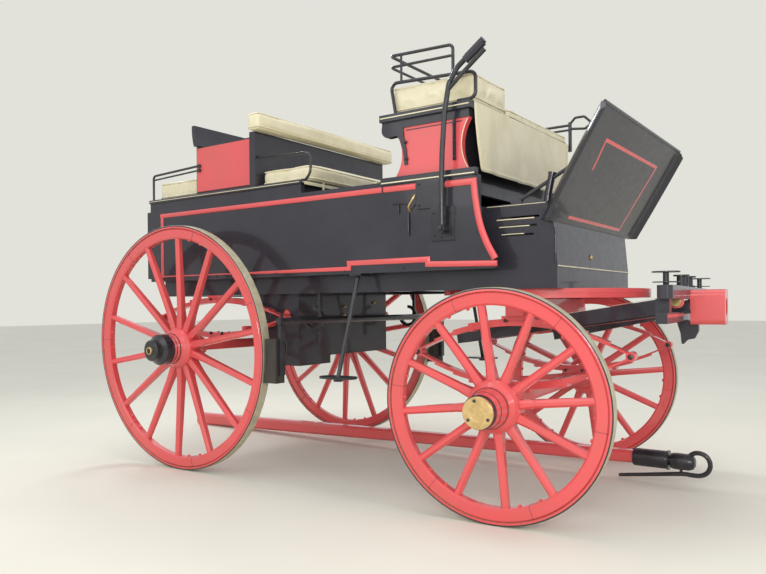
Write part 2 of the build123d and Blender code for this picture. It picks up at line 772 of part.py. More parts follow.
def lever_plate():
    """The iron plates on the right side panel: the lever's guide above and its pivot plate below."""
    guide, foot = [block(x0, x1, -half_w - 10, -half_w, z0, z1) for x0, x1, z0, z1 in lever_plates]
    return guide + foot


def brake_lever():
    """The hand lever on the right side, with its grip and the handle of its catch."""
    y = -half_w - 34
    path = [(lever_x + ahead, y, lever_z + rise) for ahead, rise in lever_path]
    end = path[-1]
    lever = rod(path, 10, 60)
    grip = rod([(end[0] - 71, y, end[2] - 51), end], 14, 1)
    catch = rod([(lever_x + 36, y, lever_z + 530), (lever_x + 92, y, lever_z + 577),
                 (lever_x + 190, y, lever_z + 650)], 8, 30)
    pivot = cross_pin(lever_x, y - 12, -half_w - 2, lever_z, 17)
    return lever + grip + catch + lever_plate() + pivot


# Fore-carriage, drawn straight ahead

def upper_plate():
    """The upper wheel plate, fixed below the crossbars, with two lugs at the rear."""
    plate = Cylinder(plate_r, plate_t)
    for angle in (-plate_lug_angle, plate_lug_angle):
        plate += Rot(Z=angle) * Pos(plate_r + 12, 0, 0) * Cylinder(plate_lug_r, plate_t)
    plate -= Cylinder(plate_r - plate_w, plate_t + 2)
    return Pos(wheelbase, 0, sill_bottom - plate_t / 2) * plate


def lower_plate():
    """The lower wheel plate, which turns with the fore-carriage."""
    z = sill_bottom - plate_t - plate_gap - plate_t / 2
    outer = Cylinder(plate_r, plate_t) - Cylinder(plate_r - plate_w, plate_t + 2)
    return Pos(wheelbase, 0, z) * outer


def lower_bed():
    """The bed across the fore-carriage, between the wheel plate and the springs."""
    top = sill_bottom - 2 * plate_t - plate_gap
    end = front_spring_y + 40
    outline = [(-end, bed_bottom), (100 - end, bed_bottom), (-250, bed_bottom - 75), (250, bed_bottom - 75),
               (end - 100, bed_bottom), (end, bed_bottom), (end, top), (-end, top)]
    edge = Polyline([(wheelbase - 35, y, z) for y, z in outline], close=True)
    return extrude(make_face(edge), amount=70, dir=(1, 0, 0))


def kingpin():
    """The kingpin from the bed up into the middle crossbar."""
    return post(wheelbase, 0, sill_bottom - 2 * plate_t - plate_gap, sill_bottom + 60, kingpin_r)


def futchells():
    """The four long bars from the bed forward, with the lower cross bar and the drop hook they carry."""
    seat_y = splinter_half - 90
    front = splinter_x - 25
    outer = both_sides(strut((wheelbase - 330, 200, 640), (front, seat_y, splinter_z - 52), 42, 50))
    inner = both_sides(strut((wheelbase + 40, 62, 652), (socket_rear, 62, socket_z), 34, 46))
    seats = both_sides(block(splinter_x - 40, splinter_x + 6, seat_y - 21, seat_y + 21,
                             lower_bar_top - 5, splinter_z - 26))
    bar = block(splinter_x - 32, splinter_x + 6, 20 - splinter_half, splinter_half - 20,
                lower_bar_bottom, lower_bar_top)
    frame = outer[0] + outer[1:] + inner + seats + bar + drop_hook()
    return frame - pole_socket() - splinter_bar()


def drop_hook():
    """The hooked bracket that hangs from the lower cross bar, under the pole socket."""
    x = splinter_x
    top = lower_bar_bottom + 6
    return board([(x - 32, top), (x + 4, top), (x + 50, top - 16), (x + 50, top - 46), (x + 36, top - 74),
                  (x + 10, top - 80), (x - 4, top - 96), (x - 12, top - 96), (x - 16, top - 54)], -16, 16)


def splinter_bar():
    """The bar that the traces pull on, with rounded ends."""
    bar = block(splinter_x - 26, splinter_x + 26, -splinter_half, splinter_half,
                splinter_z - 26, splinter_z + 20)
    return fillet(bar.edges().filter_by(Axis.Z), 18)


def roller_bolts():
    """The four bolts for the traces: the outer with two wide thin caps, the inner stout with one."""
    base = splinter_z + 20
    bolts = []
    for y in (-splinter_half + 40, splinter_half - 40):
        stem = post(splinter_x, y, base, base + 47, 10)
        caps = [post(splinter_x, y, base + 9, base + 12, 44), post(splinter_x, y, base + 43, base + 47, 46)]
        bolts.append(stem + caps)
    for y in (-95, 95):
        stem = post(splinter_x, y, base, base + 46, 17)
        caps = [post(splinter_x, y, base, base + 8, 25), post(splinter_x, y, base + 40, base + 46, 29)]
        bolts.append(stem + caps)
    return bolts


def pole_socket():
    """The rounded block before the splinter bar that holds the pole, bored from the front."""
    body = block(socket_rear, socket_front, -socket_half, socket_half, socket_z - 68, socket_z + 68)
    body = fillet(body.edges().filter_by(Axis.X), 24)
    bore = Pos(socket_front - socket_depth / 2 + 1, 0, socket_z) * Rot(Y=90) * Cylinder(socket_bore_r,
                                                                                        socket_depth + 2)
    return body - bore


# Draught pole, drawn along +X from the middle of its rear end

def lay_pole(shape):
    """The piece moved to where the pole lies."""
    rear = Pos(pole_rear, pole_rear_y, pole_rear_half)
    return rear * Rot(Z=pole_heading) * Rot(Y=-pole_rise) * shape


def pole_section(x, half):
    """The pole's section with cut corners at the distance x from its rear end."""
    cut = half * 0.36
    points = [(half, -half + cut), (half, half - cut), (half - cut, half), (cut - half, half),
              (-half, half - cut), (-half, cut - half), (cut - half, -half), (half - cut, -half)]
    return make_face(Polyline([(x, y, z) for y, z in points], close=True))


def pole():
    """The wooden pole, thicker at its rear end."""
    ends = [pole_section(0, pole_rear_half), pole_section(pole_length, pole_front_half)]
    return lay_pole(loft(ends, ruled=True))


def pole_hook():
    """The iron on the pole's end: a ferrule, a collar, a swivel, and a hook whose tail reaches the ground."""
    x = pole_length
    profile = [(0, 0), (0, ferrule_r), (140, ferrule_r), (140, 42), (146, 42), (146, 20), (154, 20),
               (154, 30), (162, 34.5), (228, 34.5), (246, 28), (251, 16), (251, 0)]
    turned = revolve(make_face(Polyline([(x + along, 0, r) for along, r in profile], close=True)), Axis.X)
    hook = rod([(x + 223, 0, 8), (x + 240, 0, 41), (x + 290, 0, 41), (x + 311, 0, 0), (x + 290, 0, -50),
                (x + 208, 0, -50), (x - 70, 0, -90)], 10, 16)
    keeper = post(x + 194, 0, -46, -30, 6)
    return lay_pole(turned + hook + keeper)


def build():
    """Make every node."""
    on_body("side_panels", *side_panels())
    on_body("tub_floor", tub_floor())
    on_body("boot_sides", *boot_sides())
    on_body("boot_shoulders", *boot_shoulders())
    on_body("toe_board", toe_board())
    on_body("dash", dash())
    on_body("body_beads", *mouldings())
    on_body("sills", *sills())
    on_body("crossbars", *crossbars())
    on_body("under_box", under_box())
    on_body("upper_wheel_plate", upper_plate())
    on_body("seat_risers", *seat_risers())
    on_body("riser_boards", *riser_boards())
    on_body("front_seat_board", front_seat_board())
    driver, mate = cushions()
    on_body("driver_cushion", driver)
    on_body("companion_cushion", mate)
    on_body("seat_fall", seat_fall())
    on_body("seat_irons", driver_iron(), companion_iron())
    on_body("bench", bench())
    on_body("back_box", back_box())
    on_body("back_box_panels", *back_box_panels())
    on_body("middle_back", middle_back())
    on_body("middle_roll", middle_roll())
    on_body("rear_back", rear_roll())
    middle, rear = bench_cushions()
    on_body("middle_cushion", middle)
    on_body("rear_cushion", rear)
    on_body("rear_rails", *rear_rails())
    on_body("arm_irons", *middle_arm_irons())
    on_body("side_steps", *side_steps())
    on_body("brake_beam", brake_beam())
    on_body("brake_blocks", *brake_blocks())
    on_body("brake_lever", brake_lever())
    on_body("rear_axle", axle(rear_wheel, 46))
    rear_low = axle_beam_height(rear_wheel) + 23
    on_body("rear_springs", *spring_pair(0, rear_spring_y, rear_low, sill_bottom, 450, 44))
    on_body("tailboard", tailboard())
    on_body("tail_hinges", *tail_hinges())

    on_fore_carriage("lower_wheel_plate", lower_plate())
    on_fore_carriage("fore_bed", lower_bed() - futchells())
    on_fore_carriage("kingpin", kingpin())
    on_fore_carriage("futchells", futchells())
    on_fore_carriage("splinter_bar", splinter_bar())
    on_fore_carriage("roller_bolts", *roller_bolts())
    on_fore_carriage("pole_socket", pole_socket())
    on_fore_carriage("front_axle", axle(front_wheel, 44))
    front_low = axle_beam_height(front_wheel) + 22
    on_fore_carriage("front_springs", *spring_pair(wheelbase, front_spring_y, front_low, bed_bottom, 420, 44))

    add_wheels(rear_wheel, on_body)
    add_wheels(front_wheel, on_fore_carriage)
    on_body("pole", pole())
    on_body("pole_hook", pole_hook())


def write():
    """Move all to the middle of the floor outline and write one file for each node."""
    solids = [solid for shapes in nodes.values() for shape in shapes for solid in shape.solids()]
    box = Compound(solids).bounding_box()
    shift = Pos(-(box.min.X + box.max.X) / 2, 0, 0)
    os.makedirs("parts", exist_ok=True)
    for name, shapes in nodes.items():
        solids = [shift * solid for shape in shapes for solid in shape.solids()]
        export_step(solids[0] if len(solids) == 1 else Compound(solids), f"parts/{name}.step")
    print("rear axle at x", round(-(box.min.X + box.max.X) / 2, 3), "box", box.min, box.max)


build()
write()
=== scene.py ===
"""The looks of an open four-wheeled break: its finishes, cushions, lining and small fastenings.

The frame holds every rigid piece of the carriage. This script dresses those pieces, puts stuffed
cushions and a hanging leather fall where the frame has plain blocks, and adds what is too fine for
the frame. Lengths are metres, +X is the front, +Y the carriage's left side and +Z is up.
"""

import json
import logging
import math
from collections.abc import Callable, Sequence
from dataclasses import dataclass
from enum import Enum
from functools import partial

import bmesh
import bpy
import numpy as np
from mathutils import Matrix, Vector
from mathutils.bvhtree import BVHTree


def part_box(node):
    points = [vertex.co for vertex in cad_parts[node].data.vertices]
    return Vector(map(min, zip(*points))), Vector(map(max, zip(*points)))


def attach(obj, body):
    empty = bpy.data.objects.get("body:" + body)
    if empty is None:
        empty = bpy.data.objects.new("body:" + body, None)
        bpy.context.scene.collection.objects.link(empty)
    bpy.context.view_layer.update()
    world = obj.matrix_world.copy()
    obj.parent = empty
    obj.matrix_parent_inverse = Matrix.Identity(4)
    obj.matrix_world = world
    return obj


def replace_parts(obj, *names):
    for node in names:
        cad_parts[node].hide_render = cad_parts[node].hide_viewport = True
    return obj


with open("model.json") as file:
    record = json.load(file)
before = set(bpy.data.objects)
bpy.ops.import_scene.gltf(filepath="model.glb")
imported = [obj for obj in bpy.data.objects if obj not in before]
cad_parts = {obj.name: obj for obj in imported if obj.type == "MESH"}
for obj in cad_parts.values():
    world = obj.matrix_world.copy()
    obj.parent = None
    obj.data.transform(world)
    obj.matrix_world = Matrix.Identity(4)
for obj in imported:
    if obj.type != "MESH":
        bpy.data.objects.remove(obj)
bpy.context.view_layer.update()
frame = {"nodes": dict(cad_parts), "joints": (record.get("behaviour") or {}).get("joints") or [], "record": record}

Array = np.ndarray
Colour = tuple[float, float, float]
Point = tuple[float, float, float]
Path = tuple[Point, ...]
Profile = tuple[tuple[float, float], ...]
Socket = bpy.types.NodeSocket

WHITE = 255.0
TINY = 1e-12
JUST_UNDER = 1e-9
LEAST_MITRE = 0.35

log = logging.getLogger("break")


class End(Enum):
    """The two ends of the carriage."""

    FRONT = "front"
    REAR = "rear"


class Side(Enum):
    """The two sides of the carriage, each with the sign of its y."""

    LEFT = 1.0
    RIGHT = -1.0


class Slot(Enum):
    """The record's finishes, which every piece names one of."""

    BLACK_PAINT = "black_paint"
    RED_PAINT = "red_paint"
    CREAM_LEATHER = "cream_leather"
    BLACK_IRON = "black_iron"
    IRON_TYRE = "iron_tyre"
    BRASS = "brass"
    BLOCK_WOOD = "block_wood"


def linear(red: int, green: int, blue: int) -> Colour:
    """Turn a screen colour of 0 to 255 into the shader's linear light, by the curve of the sRGB standard.

    Args:
        red: Red, 0 to 255.
        green: Green, 0 to 255.
        blue: Blue, 0 to 255.

    Returns:
        The three linear parts, each 0 to 1.
    """
    parts = np.array([red, green, blue]) / WHITE
    low = parts / 12.92
    high = ((parts + 0.055) / 1.055) ** 2.4
    return tuple(float(v) for v in np.where(parts <= 0.04045, low, high))


@dataclass(frozen=True)
class Noise:
    """A cloudy noise between 0 and 1: how fine and how detailed it is, and the span of it that is used.

    The pattern runs one way where its coordinates are stretched along the axes.
    """

    scale: float
    detail: float = 3.0
    rough: float = 0.55
    low: float = 0.3
    high: float = 0.7
    along: Point | None = None


class Graph:
    """A material's nodes, with one short call for each that the finishes need.

    The mix node's colour sockets share their names with its other ones, so they go by number.
    """

    MIX_FIRST, MIX_SECOND, MIX_RESULT = 6, 7, 2

    def __init__(self, name: str, **sockets: float) -> None:
        """Start a material with a Principled shader on its output.

        Args:
            name: The material's name.
            sockets: Shader inputs that are the same all over, with _ for a space.
        """
        self.material = bpy.data.materials.new(name)
        self.material.use_nodes = True
        self.tree = self.material.node_tree
        self.tree.nodes.clear()
        output = self.tree.nodes.new("ShaderNodeOutputMaterial")
        self.shader = self.tree.nodes.new("ShaderNodeBsdfPrincipled")
        self.tree.links.new(self.shader.outputs["BSDF"], output.inputs["Surface"])
        self.place = self.tree.nodes.new("ShaderNodeTexCoord").outputs["Object"]
        for key, value in sockets.items():
            self.shader.inputs[key.replace("_", " ")].default_value = value

    def node(self, kind: str, inputs: dict[str, object]) -> bpy.types.Node:
        """Add one node.

        Args:
            kind: Blender's name of the node's type.
            inputs: Input name to a socket, which is linked, or to a plain value.

        Returns:
            The node.
        """
        made = self.tree.nodes.new(kind)
        for key, value in inputs.items():
            if isinstance(value, Socket):
                self.tree.links.new(value, made.inputs[key])
            else:
                made.inputs[key].default_value = value
        return made

    def noise(self, noise: Noise) -> Socket:
        """The whole of a noise.

        Args:
            noise: The noise.

        Returns:
            Its socket.
        """
        place = self.place
        if noise.along is not None:
            place = self.node("ShaderNodeMapping", {"Vector": place, "Scale": noise.along}).outputs["Vector"]
        inputs = {"Vector": place, "Scale": noise.scale, "Detail": noise.detail, "Roughness": noise.rough}
        return self.node("ShaderNodeTexNoise", inputs).outputs["Fac"]

    def span(self, noise: Noise, least: float = 0.0, most: float = 1.0) -> Socket:
        """The used span of a noise, stretched so that it runs from least to most, and held there outside it."""
        inputs = {"Value": self.noise(noise), "From Min": noise.low, "From Max": noise.high,
                  "To Min": least, "To Max": most}
        return self.node("ShaderNodeMapRange", inputs).outputs["Result"]

    def cells(self, scale: float) -> Socket:
        """The distance to the nearest of many scattered points, for the pebbles of leather."""
        inputs = {"Vector": self.place, "Scale": scale, "Randomness": 1.0}
        return self.node("ShaderNodeTexVoronoi", inputs).outputs["Distance"]

    def blend(self, factor: Socket, first: object, second: object) -> Socket:
        """Mix two colours, each a linear colour or a socket.

        Args:
            factor: The share of the second colour, 0 to 1.
            first: The first colour.
            second: The second colour.

        Returns:
            The socket of the mixed colour.
        """
        mix = self.tree.nodes.new("ShaderNodeMix")
        mix.data_type = "RGBA"
        self.tree.links.new(factor, mix.inputs["Factor"])
        for slot, value in ((self.MIX_FIRST, first), (self.MIX_SECOND, second)):
            if isinstance(value, Socket):
                self.tree.links.new(value, mix.inputs[slot])
            else:
                mix.inputs[slot].default_value = (*value, 1.0)
        return mix.outputs[self.MIX_RESULT]

    def tint(self, noise: Noise, first: object, second: object) -> Socket:
        """Colour the shader from one colour to another by a noise.

        Args:
            noise: The noise.
            first: The colour at the low end of its span.
            second: The colour at the high end.

        Returns:
            The socket of the colour.
        """
        colour = self.blend(self.span(noise), first, second)
        self.tree.links.new(colour, self.shader.inputs["Base Color"])
        return colour

    def roughen(self, noise: Noise, least: float, most: float) -> None:
        """Let the shader's roughness run from least to most by a noise."""
        self.tree.links.new(self.span(noise, least, most), self.shader.inputs["Roughness"])

    def bump(self, *layers: tuple[Socket, float, float]) -> None:
        """Stack bumps onto the shader's normal, the first one lowest.

        Args:
            layers: Each a height source, the bump's strength and its height in metres.
        """
        normal = None
        for height, strength, depth in layers:
            inputs = {"Height": height, "Strength": strength, "Distance": depth}
            if normal is not None:
                inputs["Normal"] = normal
            normal = self.node("ShaderNodeBump", inputs).outputs["Normal"]
        self.tree.links.new(normal, self.shader.inputs["Normal"])


@dataclass(frozen=True)
class CoachPaint:
    """Brushed and varnished coach paint: deep colour, faint clouding, and a clear gloss over it."""

    name: str
    colour: Colour
    aged: Colour
    roughness: float = 0.34
    smoother: float = 0.06
    rougher: float = 0.12
    coat: float = 0.85
    coat_roughness: float = 0.06
    coat_ior: float = 1.5
    shine: float = 0.5
    clouds: Noise = Noise(5.0, 5.0, 0.6, 0.38, 0.72)
    scuffs: Noise = Noise(34.0, 6.0, 0.7, high=0.75)
    brushing: Noise = Noise(150.0, 2.0)
    waves: Noise = Noise(9.0, 2.0)

    def make(self) -> bpy.types.Material:
        """Build the material.

        Returns:
            The finished material.
        """
        graph = Graph(self.name, Coat_Weight=self.coat, Coat_Roughness=self.coat_roughness, Coat_IOR=self.coat_ior,
                      Specular_IOR_Level=self.shine)
        graph.tint(self.clouds, self.colour, self.aged)
        graph.roughen(self.scuffs, self.roughness - self.smoother, self.roughness + self.rougher)
        graph.bump((graph.noise(self.brushing), 0.12, 0.0004), (graph.noise(self.waves), 0.10, 0.0012))
        return graph.material


@dataclass(frozen=True)
class SeatLeather:
    """Soft upholstery leather with a pebbled grain, long creases and faint soiling."""

    name: str
    colour: Colour
    soiled: Colour
    roughness: float = 0.47
    smoother: float = 0.08
    rougher: float = 0.1
    sheen: float = 0.12
    sheen_roughness: float = 0.5
    coat: float = 0.08
    coat_roughness: float = 0.35
    grain: float = 900.0
    soil: Noise = Noise(7.0, 6.0, 0.62, 0.36, 0.78)
    wear: Noise = Noise(26.0, 4.0)
    creases: Noise = Noise(30.0, 5.0, 0.7, along=(1.0, 0.55, 1.6))

    def make(self) -> bpy.types.Material:
        """Build the material.

        Returns:
            The finished material.
        """
        graph = Graph(self.name, Sheen_Weight=self.sheen, Sheen_Roughness=self.sheen_roughness,
                      Coat_Weight=self.coat, Coat_Roughness=self.coat_roughness)
        graph.tint(self.soil, self.colour, self.soiled)
        graph.roughen(self.wear, self.roughness - self.smoother, self.roughness + self.rougher)
        graph.bump((graph.cells(self.grain), 0.35, 0.0006), (graph.noise(self.creases), 0.30, 0.0022))
        return graph.material


@dataclass(frozen=True)
class PaintedIron:
    """Forged iron under black enamel, a little uneven from the hammer."""

    name: str
    colour: Colour
    roughness: float = 0.33
    smoother: float = 0.05
    rougher: float = 0.15
    coat: float = 0.5
    coat_roughness: float = 0.12
    coat_ior: float = 1.5
    shine: float = 0.35
    dust: Noise = Noise(18.0, 5.0, 0.65, 0.45, 0.8)
    dust_gain: float = 1.9
    dust_lift: float = 0.012
    wear: Noise = Noise(40.0)
    hammering: Noise = Noise(70.0)

    def make(self) -> bpy.types.Material:
        """Build the material.

        Returns:
            The finished material.
        """
        graph = Graph(self.name, Coat_Weight=self.coat, Coat_Roughness=self.coat_roughness, Coat_IOR=self.coat_ior,
                      Specular_IOR_Level=self.shine)
        graph.tint(self.dust, self.colour, tuple(c * self.dust_gain + self.dust_lift for c in self.colour))
        graph.roughen(self.wear, self.roughness - self.smoother, self.roughness + self.rougher)
        graph.bump((graph.noise(self.hammering), 0.25, 0.0008))
        return graph.material


@dataclass(frozen=True)
class TyreIron:
    """Bare hoop iron that has run on the road: pale dust, grey wear and darker pits."""

    name: str
    bare: Colour
    dust: Colour
    pits: Colour
    metal: float = 0.25
    roughness: tuple[float, float] = (0.42, 0.7)
    dusty: Noise = Noise(22.0, 6.0, 0.7, low=0.35)
    pitted: Noise = Noise(160.0, 4.0, 0.7, 0.62, 0.74)
    wear: Noise = Noise(60.0, 5.0)
    grit: Noise = Noise(220.0, 4.0)

    def make(self) -> bpy.types.Material:
        """Build the material.

        Returns:
            The finished material.
        """
        graph = Graph(self.name, Metallic=self.metal)
        graph.tint(self.pitted, graph.tint(self.dusty, self.bare, self.dust), self.pits)
        graph.roughen(self.wear, *self.roughness)
        graph.bump((graph.noise(self.grit), 0.4, 0.0008))
        return graph.material


@dataclass(frozen=True)
class OldBrass:
    """Turned brass, polished and gone a little dull, with fine marks on its face."""

    name: str
    colour: Colour
    dull: Colour
    metal: float = 0.85
    roughness: tuple[float, float] = (0.24, 0.46)
    tarnish: Noise = Noise(38.0, 5.0, 0.65, 0.4, 0.75)
    wear: Noise = Noise(90.0, 5.0)
    marks: Noise = Noise(300.0)

    def make(self) -> bpy.types.Material:
        """Build the material.

        Returns:
            The finished material.
        """
        graph = Graph(self.name, Metallic=self.metal)
        graph.tint(self.tarnish, self.colour, self.dull)
        graph.roughen(self.wear, *self.roughness)
        graph.bump((graph.noise(self.marks), 0.2, 0.0003))
        return graph.material


@dataclass(frozen=True)
class BlockWood:
    """Dark wood with upright grain, rubbed and dirty."""

    name: str
    colour: Colour
    dark: Colour
    roughness: tuple[float, float] = (0.55, 0.8)
    grain: Noise = Noise(45.0, 5.0, 0.6, along=(1.0, 1.0, 0.12))
    stain: Noise = Noise(45.0, 5.0, 0.6, 0.35, 0.7, along=(1.0, 1.0, 0.12))

    def make(self) -> bpy.types.Material:
        """Build the material.

        Returns:
            The finished material.
        """
        graph = Graph(self.name)
        graph.tint(self.stain, self.colour, self.dark)
        graph.roughen(self.grain, *self.roughness)
        graph.bump((graph.noise(self.grain), 0.5, 0.0012))
        return graph.material


Finish = CoachPaint | SeatLeather | PaintedIron | TyreIron | OldBrass | BlockWood

FINISHES: dict[Slot, Finish] = {
    Slot.BLACK_PAINT: CoachPaint("black_coach_paint", linear(43, 42, 49), linear(52, 51, 58), coat=0.50, shine=0.25),
    Slot.RED_PAINT: CoachPaint("red_coach_paint", linear(220, 82, 84), linear(205, 86, 83), coat=0.6, shine=0.4),
    Slot.CREAM_LEATHER: SeatLeather("cream_leather", linear(229, 220, 190), linear(208, 198, 160)),
    Slot.BLACK_IRON: PaintedIron("black_iron", linear(30, 30, 35)),
    Slot.IRON_TYRE: TyreIron("tyre_iron", linear(168, 162, 138), linear(204, 197, 168), linear(112, 106, 88)),
    Slot.BRASS: OldBrass("hub_brass", linear(226, 196, 138), linear(190, 160, 104)),
    Slot.BLOCK_WOOD: BlockWood("brake_wood", linear(62, 54, 46), linear(34, 30, 28)),
}


class Workshop:
    """Makes each finish once and gives it to the frame's pieces and to new ones."""

    def __init__(self) -> None:
        """Make every material."""
        self.materials = {slot: finish.make() for slot, finish in FINISHES.items()}

    def dress_frame(self) -> None:
        """Give every piece of the frame the finish that the record names for it."""
        for part in frame["record"]["subparts"]:
            mesh = frame["nodes"][part["node"]].data
            mesh.materials.clear()
            mesh.materials.append(self.materials[Slot(part["material_slot"])])
        log.info("dressed %d pieces of the frame", len(frame["nodes"]))


@dataclass(frozen=True)
class Lamp:
    """A soft rectangular lamp. Its place and the point that it faces are from the rear axle."""

    name: str
    place: Point
    target: Point
    size: tuple[float, float]
    watts: float

    def hang(self) -> None:
        """Put the lamp in the scene."""
        data = bpy.data.lights.new(self.name, "AREA")
        data.shape = "RECTANGLE"
        data.size, data.size_y = self.size
        data.energy = self.watts
        lamp = bpy.data.objects.new(self.name, data)
        bpy.context.scene.collection.objects.link(lamp)
        lamp.location = Vector(self.place) + Vector((AXLE_X, 0.0, 0.0))
        lamp.rotation_euler = (Vector(self.target) - Vector(self.place)).to_track_quat("-Z", "Y").to_euler()


@dataclass(frozen=True)
class Studio:
    """The floor, the lamps and the camera that stands where the picture was taken from."""

    camera_from_axle: Point = (2.824, -2.982, 0.781)
    yaw: float = 35.06
    pitch: float = -0.26
    roll: float = -0.55
    lens: float = 34.32
    sensor: float = 36.0
    shift_up: float = 0.028
    clip: tuple[float, float] = (0.05, 200.0)
    floor_half: float = 30.0
    floor_colour: Colour = linear(224, 221, 208)
    floor_roughness: float = 0.75
    floor_tone: Noise = Noise(0.9)
    floor_mottle: float = 0.94
    world_colour: Colour = (0.96, 0.98, 1.0)
    world_strength: float = 0.80
    backdrop: Colour = linear(226, 226, 218)
    lamps: tuple[Lamp, ...] = (
        Lamp("key_lamp", (0.2, -6.2, 4.0), (0.8, 0.0, 0.8), (6.0, 4.2), 105.0),
        Lamp("front_lamp", (6.4, -1.8, 2.6), (1.7, 0.0, 0.9), (0.9, 2.6), 52.0),
        Lamp("glint_lamp", (3.05, -3.35, 1.35), (1.5, 0.0, 1.0), (0.90, 0.60), 34.0),
        Lamp("rim_lamp", (-1.75, 1.22, 3.60), (1.95, -0.50, 1.35), (1.00, 0.60), 46.0),
        Lamp("top_lamp", (0.9, -0.6, 5.6), (0.9, -0.1, 0.0), (3.6, 2.6), 66.0),
    )

    def place_camera(self) -> None:
        """Set the camera from its place, the way that it looks and its roll.

        Yaw turns it about +Z from looking along +Y, pitch lifts its view, and roll turns the picture's
        right and top in the picture's plane.
        """
        yaw, pitch, roll = (math.radians(v) for v in (self.yaw, self.pitch, self.roll))
        ahead = Vector((-math.sin(yaw) * math.cos(pitch), math.cos(yaw) * math.cos(pitch), math.sin(pitch)))
        level = Vector((math.cos(yaw), math.sin(yaw), 0.0))
        upright = level.cross(ahead)
        right = math.cos(roll) * level + math.sin(roll) * upright
        above = -math.sin(roll) * level + math.cos(roll) * upright
        data = bpy.data.cameras.new("camera")
        data.lens, data.sensor_width, data.shift_y = self.lens, self.sensor, self.shift_up
        data.clip_start, data.clip_end = self.clip
        camera = bpy.data.objects.new("camera", data)
        bpy.context.scene.collection.objects.link(camera)
        x, y, z = self.camera_from_axle
        turn = Matrix((right, above, -ahead)).transposed().to_4x4()
        camera.matrix_world = Matrix.Translation((x + AXLE_X, y, z)) @ turn
        bpy.context.scene.camera = camera

    def lay_floor(self) -> None:
        """Lay a wide pale floor, which isn't part of the carriage."""
        half = self.floor_half
        corners = [(-half, -half, 0.0), (half, -half, 0.0), (half, half, 0.0), (-half, half, 0.0)]
        mesh = bpy.data.meshes.new("studio_floor")
        mesh.from_pydata(corners, [], [(0, 1, 2, 3)])
        graph = Graph("studio_floor", Roughness=self.floor_roughness)
        graph.tint(self.floor_tone, self.floor_colour, tuple(c * self.floor_mottle for c in self.floor_colour))
        mesh.materials.append(graph.material)
        floor = bpy.data.objects.new("studio_floor", mesh)
        bpy.context.scene.collection.objects.link(floor)

    def light_world(self) -> None:
        """Light everything by a soft even world, which the camera sees as a pale backdrop."""
        world = bpy.data.worlds.new("studio_world")
        world.use_nodes = True
        bpy.context.scene.world = world
        nodes, links = world.node_tree.nodes, world.node_tree.links
        nodes.clear()
        output = nodes.new("ShaderNodeOutputWorld")
        soft = nodes.new("ShaderNodeBackground")
        soft.inputs["Color"].default_value = (*self.world_colour, 1.0)
        soft.inputs["Strength"].default_value = self.world_strength
        seen = nodes.new("ShaderNodeBackground")
        seen.inputs["Color"].default_value = (*self.backdrop, 1.0)
        path = nodes.new("ShaderNodeLightPath")
        mix = nodes.new("ShaderNodeMixShader")
        links.new(path.outputs["Is Camera Ray"], mix.inputs["Fac"])
        for number, shader in enumerate((soft, seen), start=1):
            links.new(shader.outputs["Background"], mix.inputs[number])
        links.new(mix.outputs["Shader"], output.inputs["Surface"])

    def build(self) -> None:
        """Make the camera, floor, world and lamps."""
        self.place_camera()
        self.lay_floor()
        self.light_world()
        for lamp in self.lamps:
            lamp.hang()
        log.info("studio ready")


# Surfaces


def unit(vectors: Array) -> Array:
    """Vectors of length one in the same directions."""
    return vectors / np.maximum(np.linalg.norm(vectors, axis=-1, keepdims=True), TINY)


def circle(radius: float, sides: int = 10) -> Array:
    """A round section of the given number of sides."""
    angle = np.arange(sides) * 2 * np.pi / sides
    return radius * np.stack([np.cos(angle), np.sin(angle)], -1)


def strip(width: float, height: float) -> Array:
    """A painted line's or strap's section: flat below, sunk by half its height, and crowned above.

    Args:
        width: The line's width.
        height: How far its middle stands out.

    Returns:
        The closed loop of the section.
    """
    half, shoulder, crown = width / 2, height * 0.5, height * 0.95
    return np.array([(-half, -height / 2), (-half, shoulder), (-half * 0.6, crown), (half * 0.6, crown),
                     (half, shoulder), (half, -height / 2)])


def smooth_line(points: Array, count: int) -> Array:
    """A smooth line through the points: on each span the Catmull-Rom cubic of its four nearest points.

    Args:
        points: The given points, with any number of coordinates.
        count: How many points the smooth line has.

    Returns:
        The line's points.
    """
    given = np.asarray(points, float)
    padded = np.vstack([2 * given[:1] - given[1:2], given, 2 * given[-1:] - given[-2:-1]])
    place = np.linspace(0, len(given) - 1 - JUST_UNDER, count)
    first = place.astype(int)
    t = (place - first)[:, None]
    a, b, c, d = (padded[first + i] for i in range(4))
    return 0.5 * (2 * b + (c - a) * t + (2 * a - 5 * b + 4 * c - d) * t ** 2 + (3 * b - a - 3 * c + d) * t ** 3)


def swept(path: Array, section: Array, up: Array, closed: bool = False) -> Array:
    """A section carried along a path: point + section x * side + section y * top, with mitred corners.

    Args:
        path: Points (N, 3).
        section: A closed loop (M, 2) of sideways and upward distances.
        up: The direction, or one for each point, that the section's y stays near.
        closed: Whether the path returns to its start.

    Returns:
        The grid (N, M, 3), with one more row where the path is closed.
    """
    path = np.asarray(path, float)
    if closed:
        after = unit(np.roll(path, -1, 0) - path)
        before = np.roll(after, 1, 0)
    else:
        step = unit(np.diff(path, axis=0))
        before, after = np.vstack([step[:1], step]), np.vstack([step, step[-1:]])
    along = unit(before + after)
    side = unit(np.cross(along, np.broadcast_to(up, path.shape)))
    top = np.cross(side, along)
    miter = 1 / np.clip((before * along).sum(1), LEAST_MITRE, 1.0)[:, None, None]
    grid = path[:, None] + section[:, :1] * miter * side[:, None] + section[:, 1:] * top[:, None]
    return np.concatenate([grid, grid[:1]]) if closed else grid


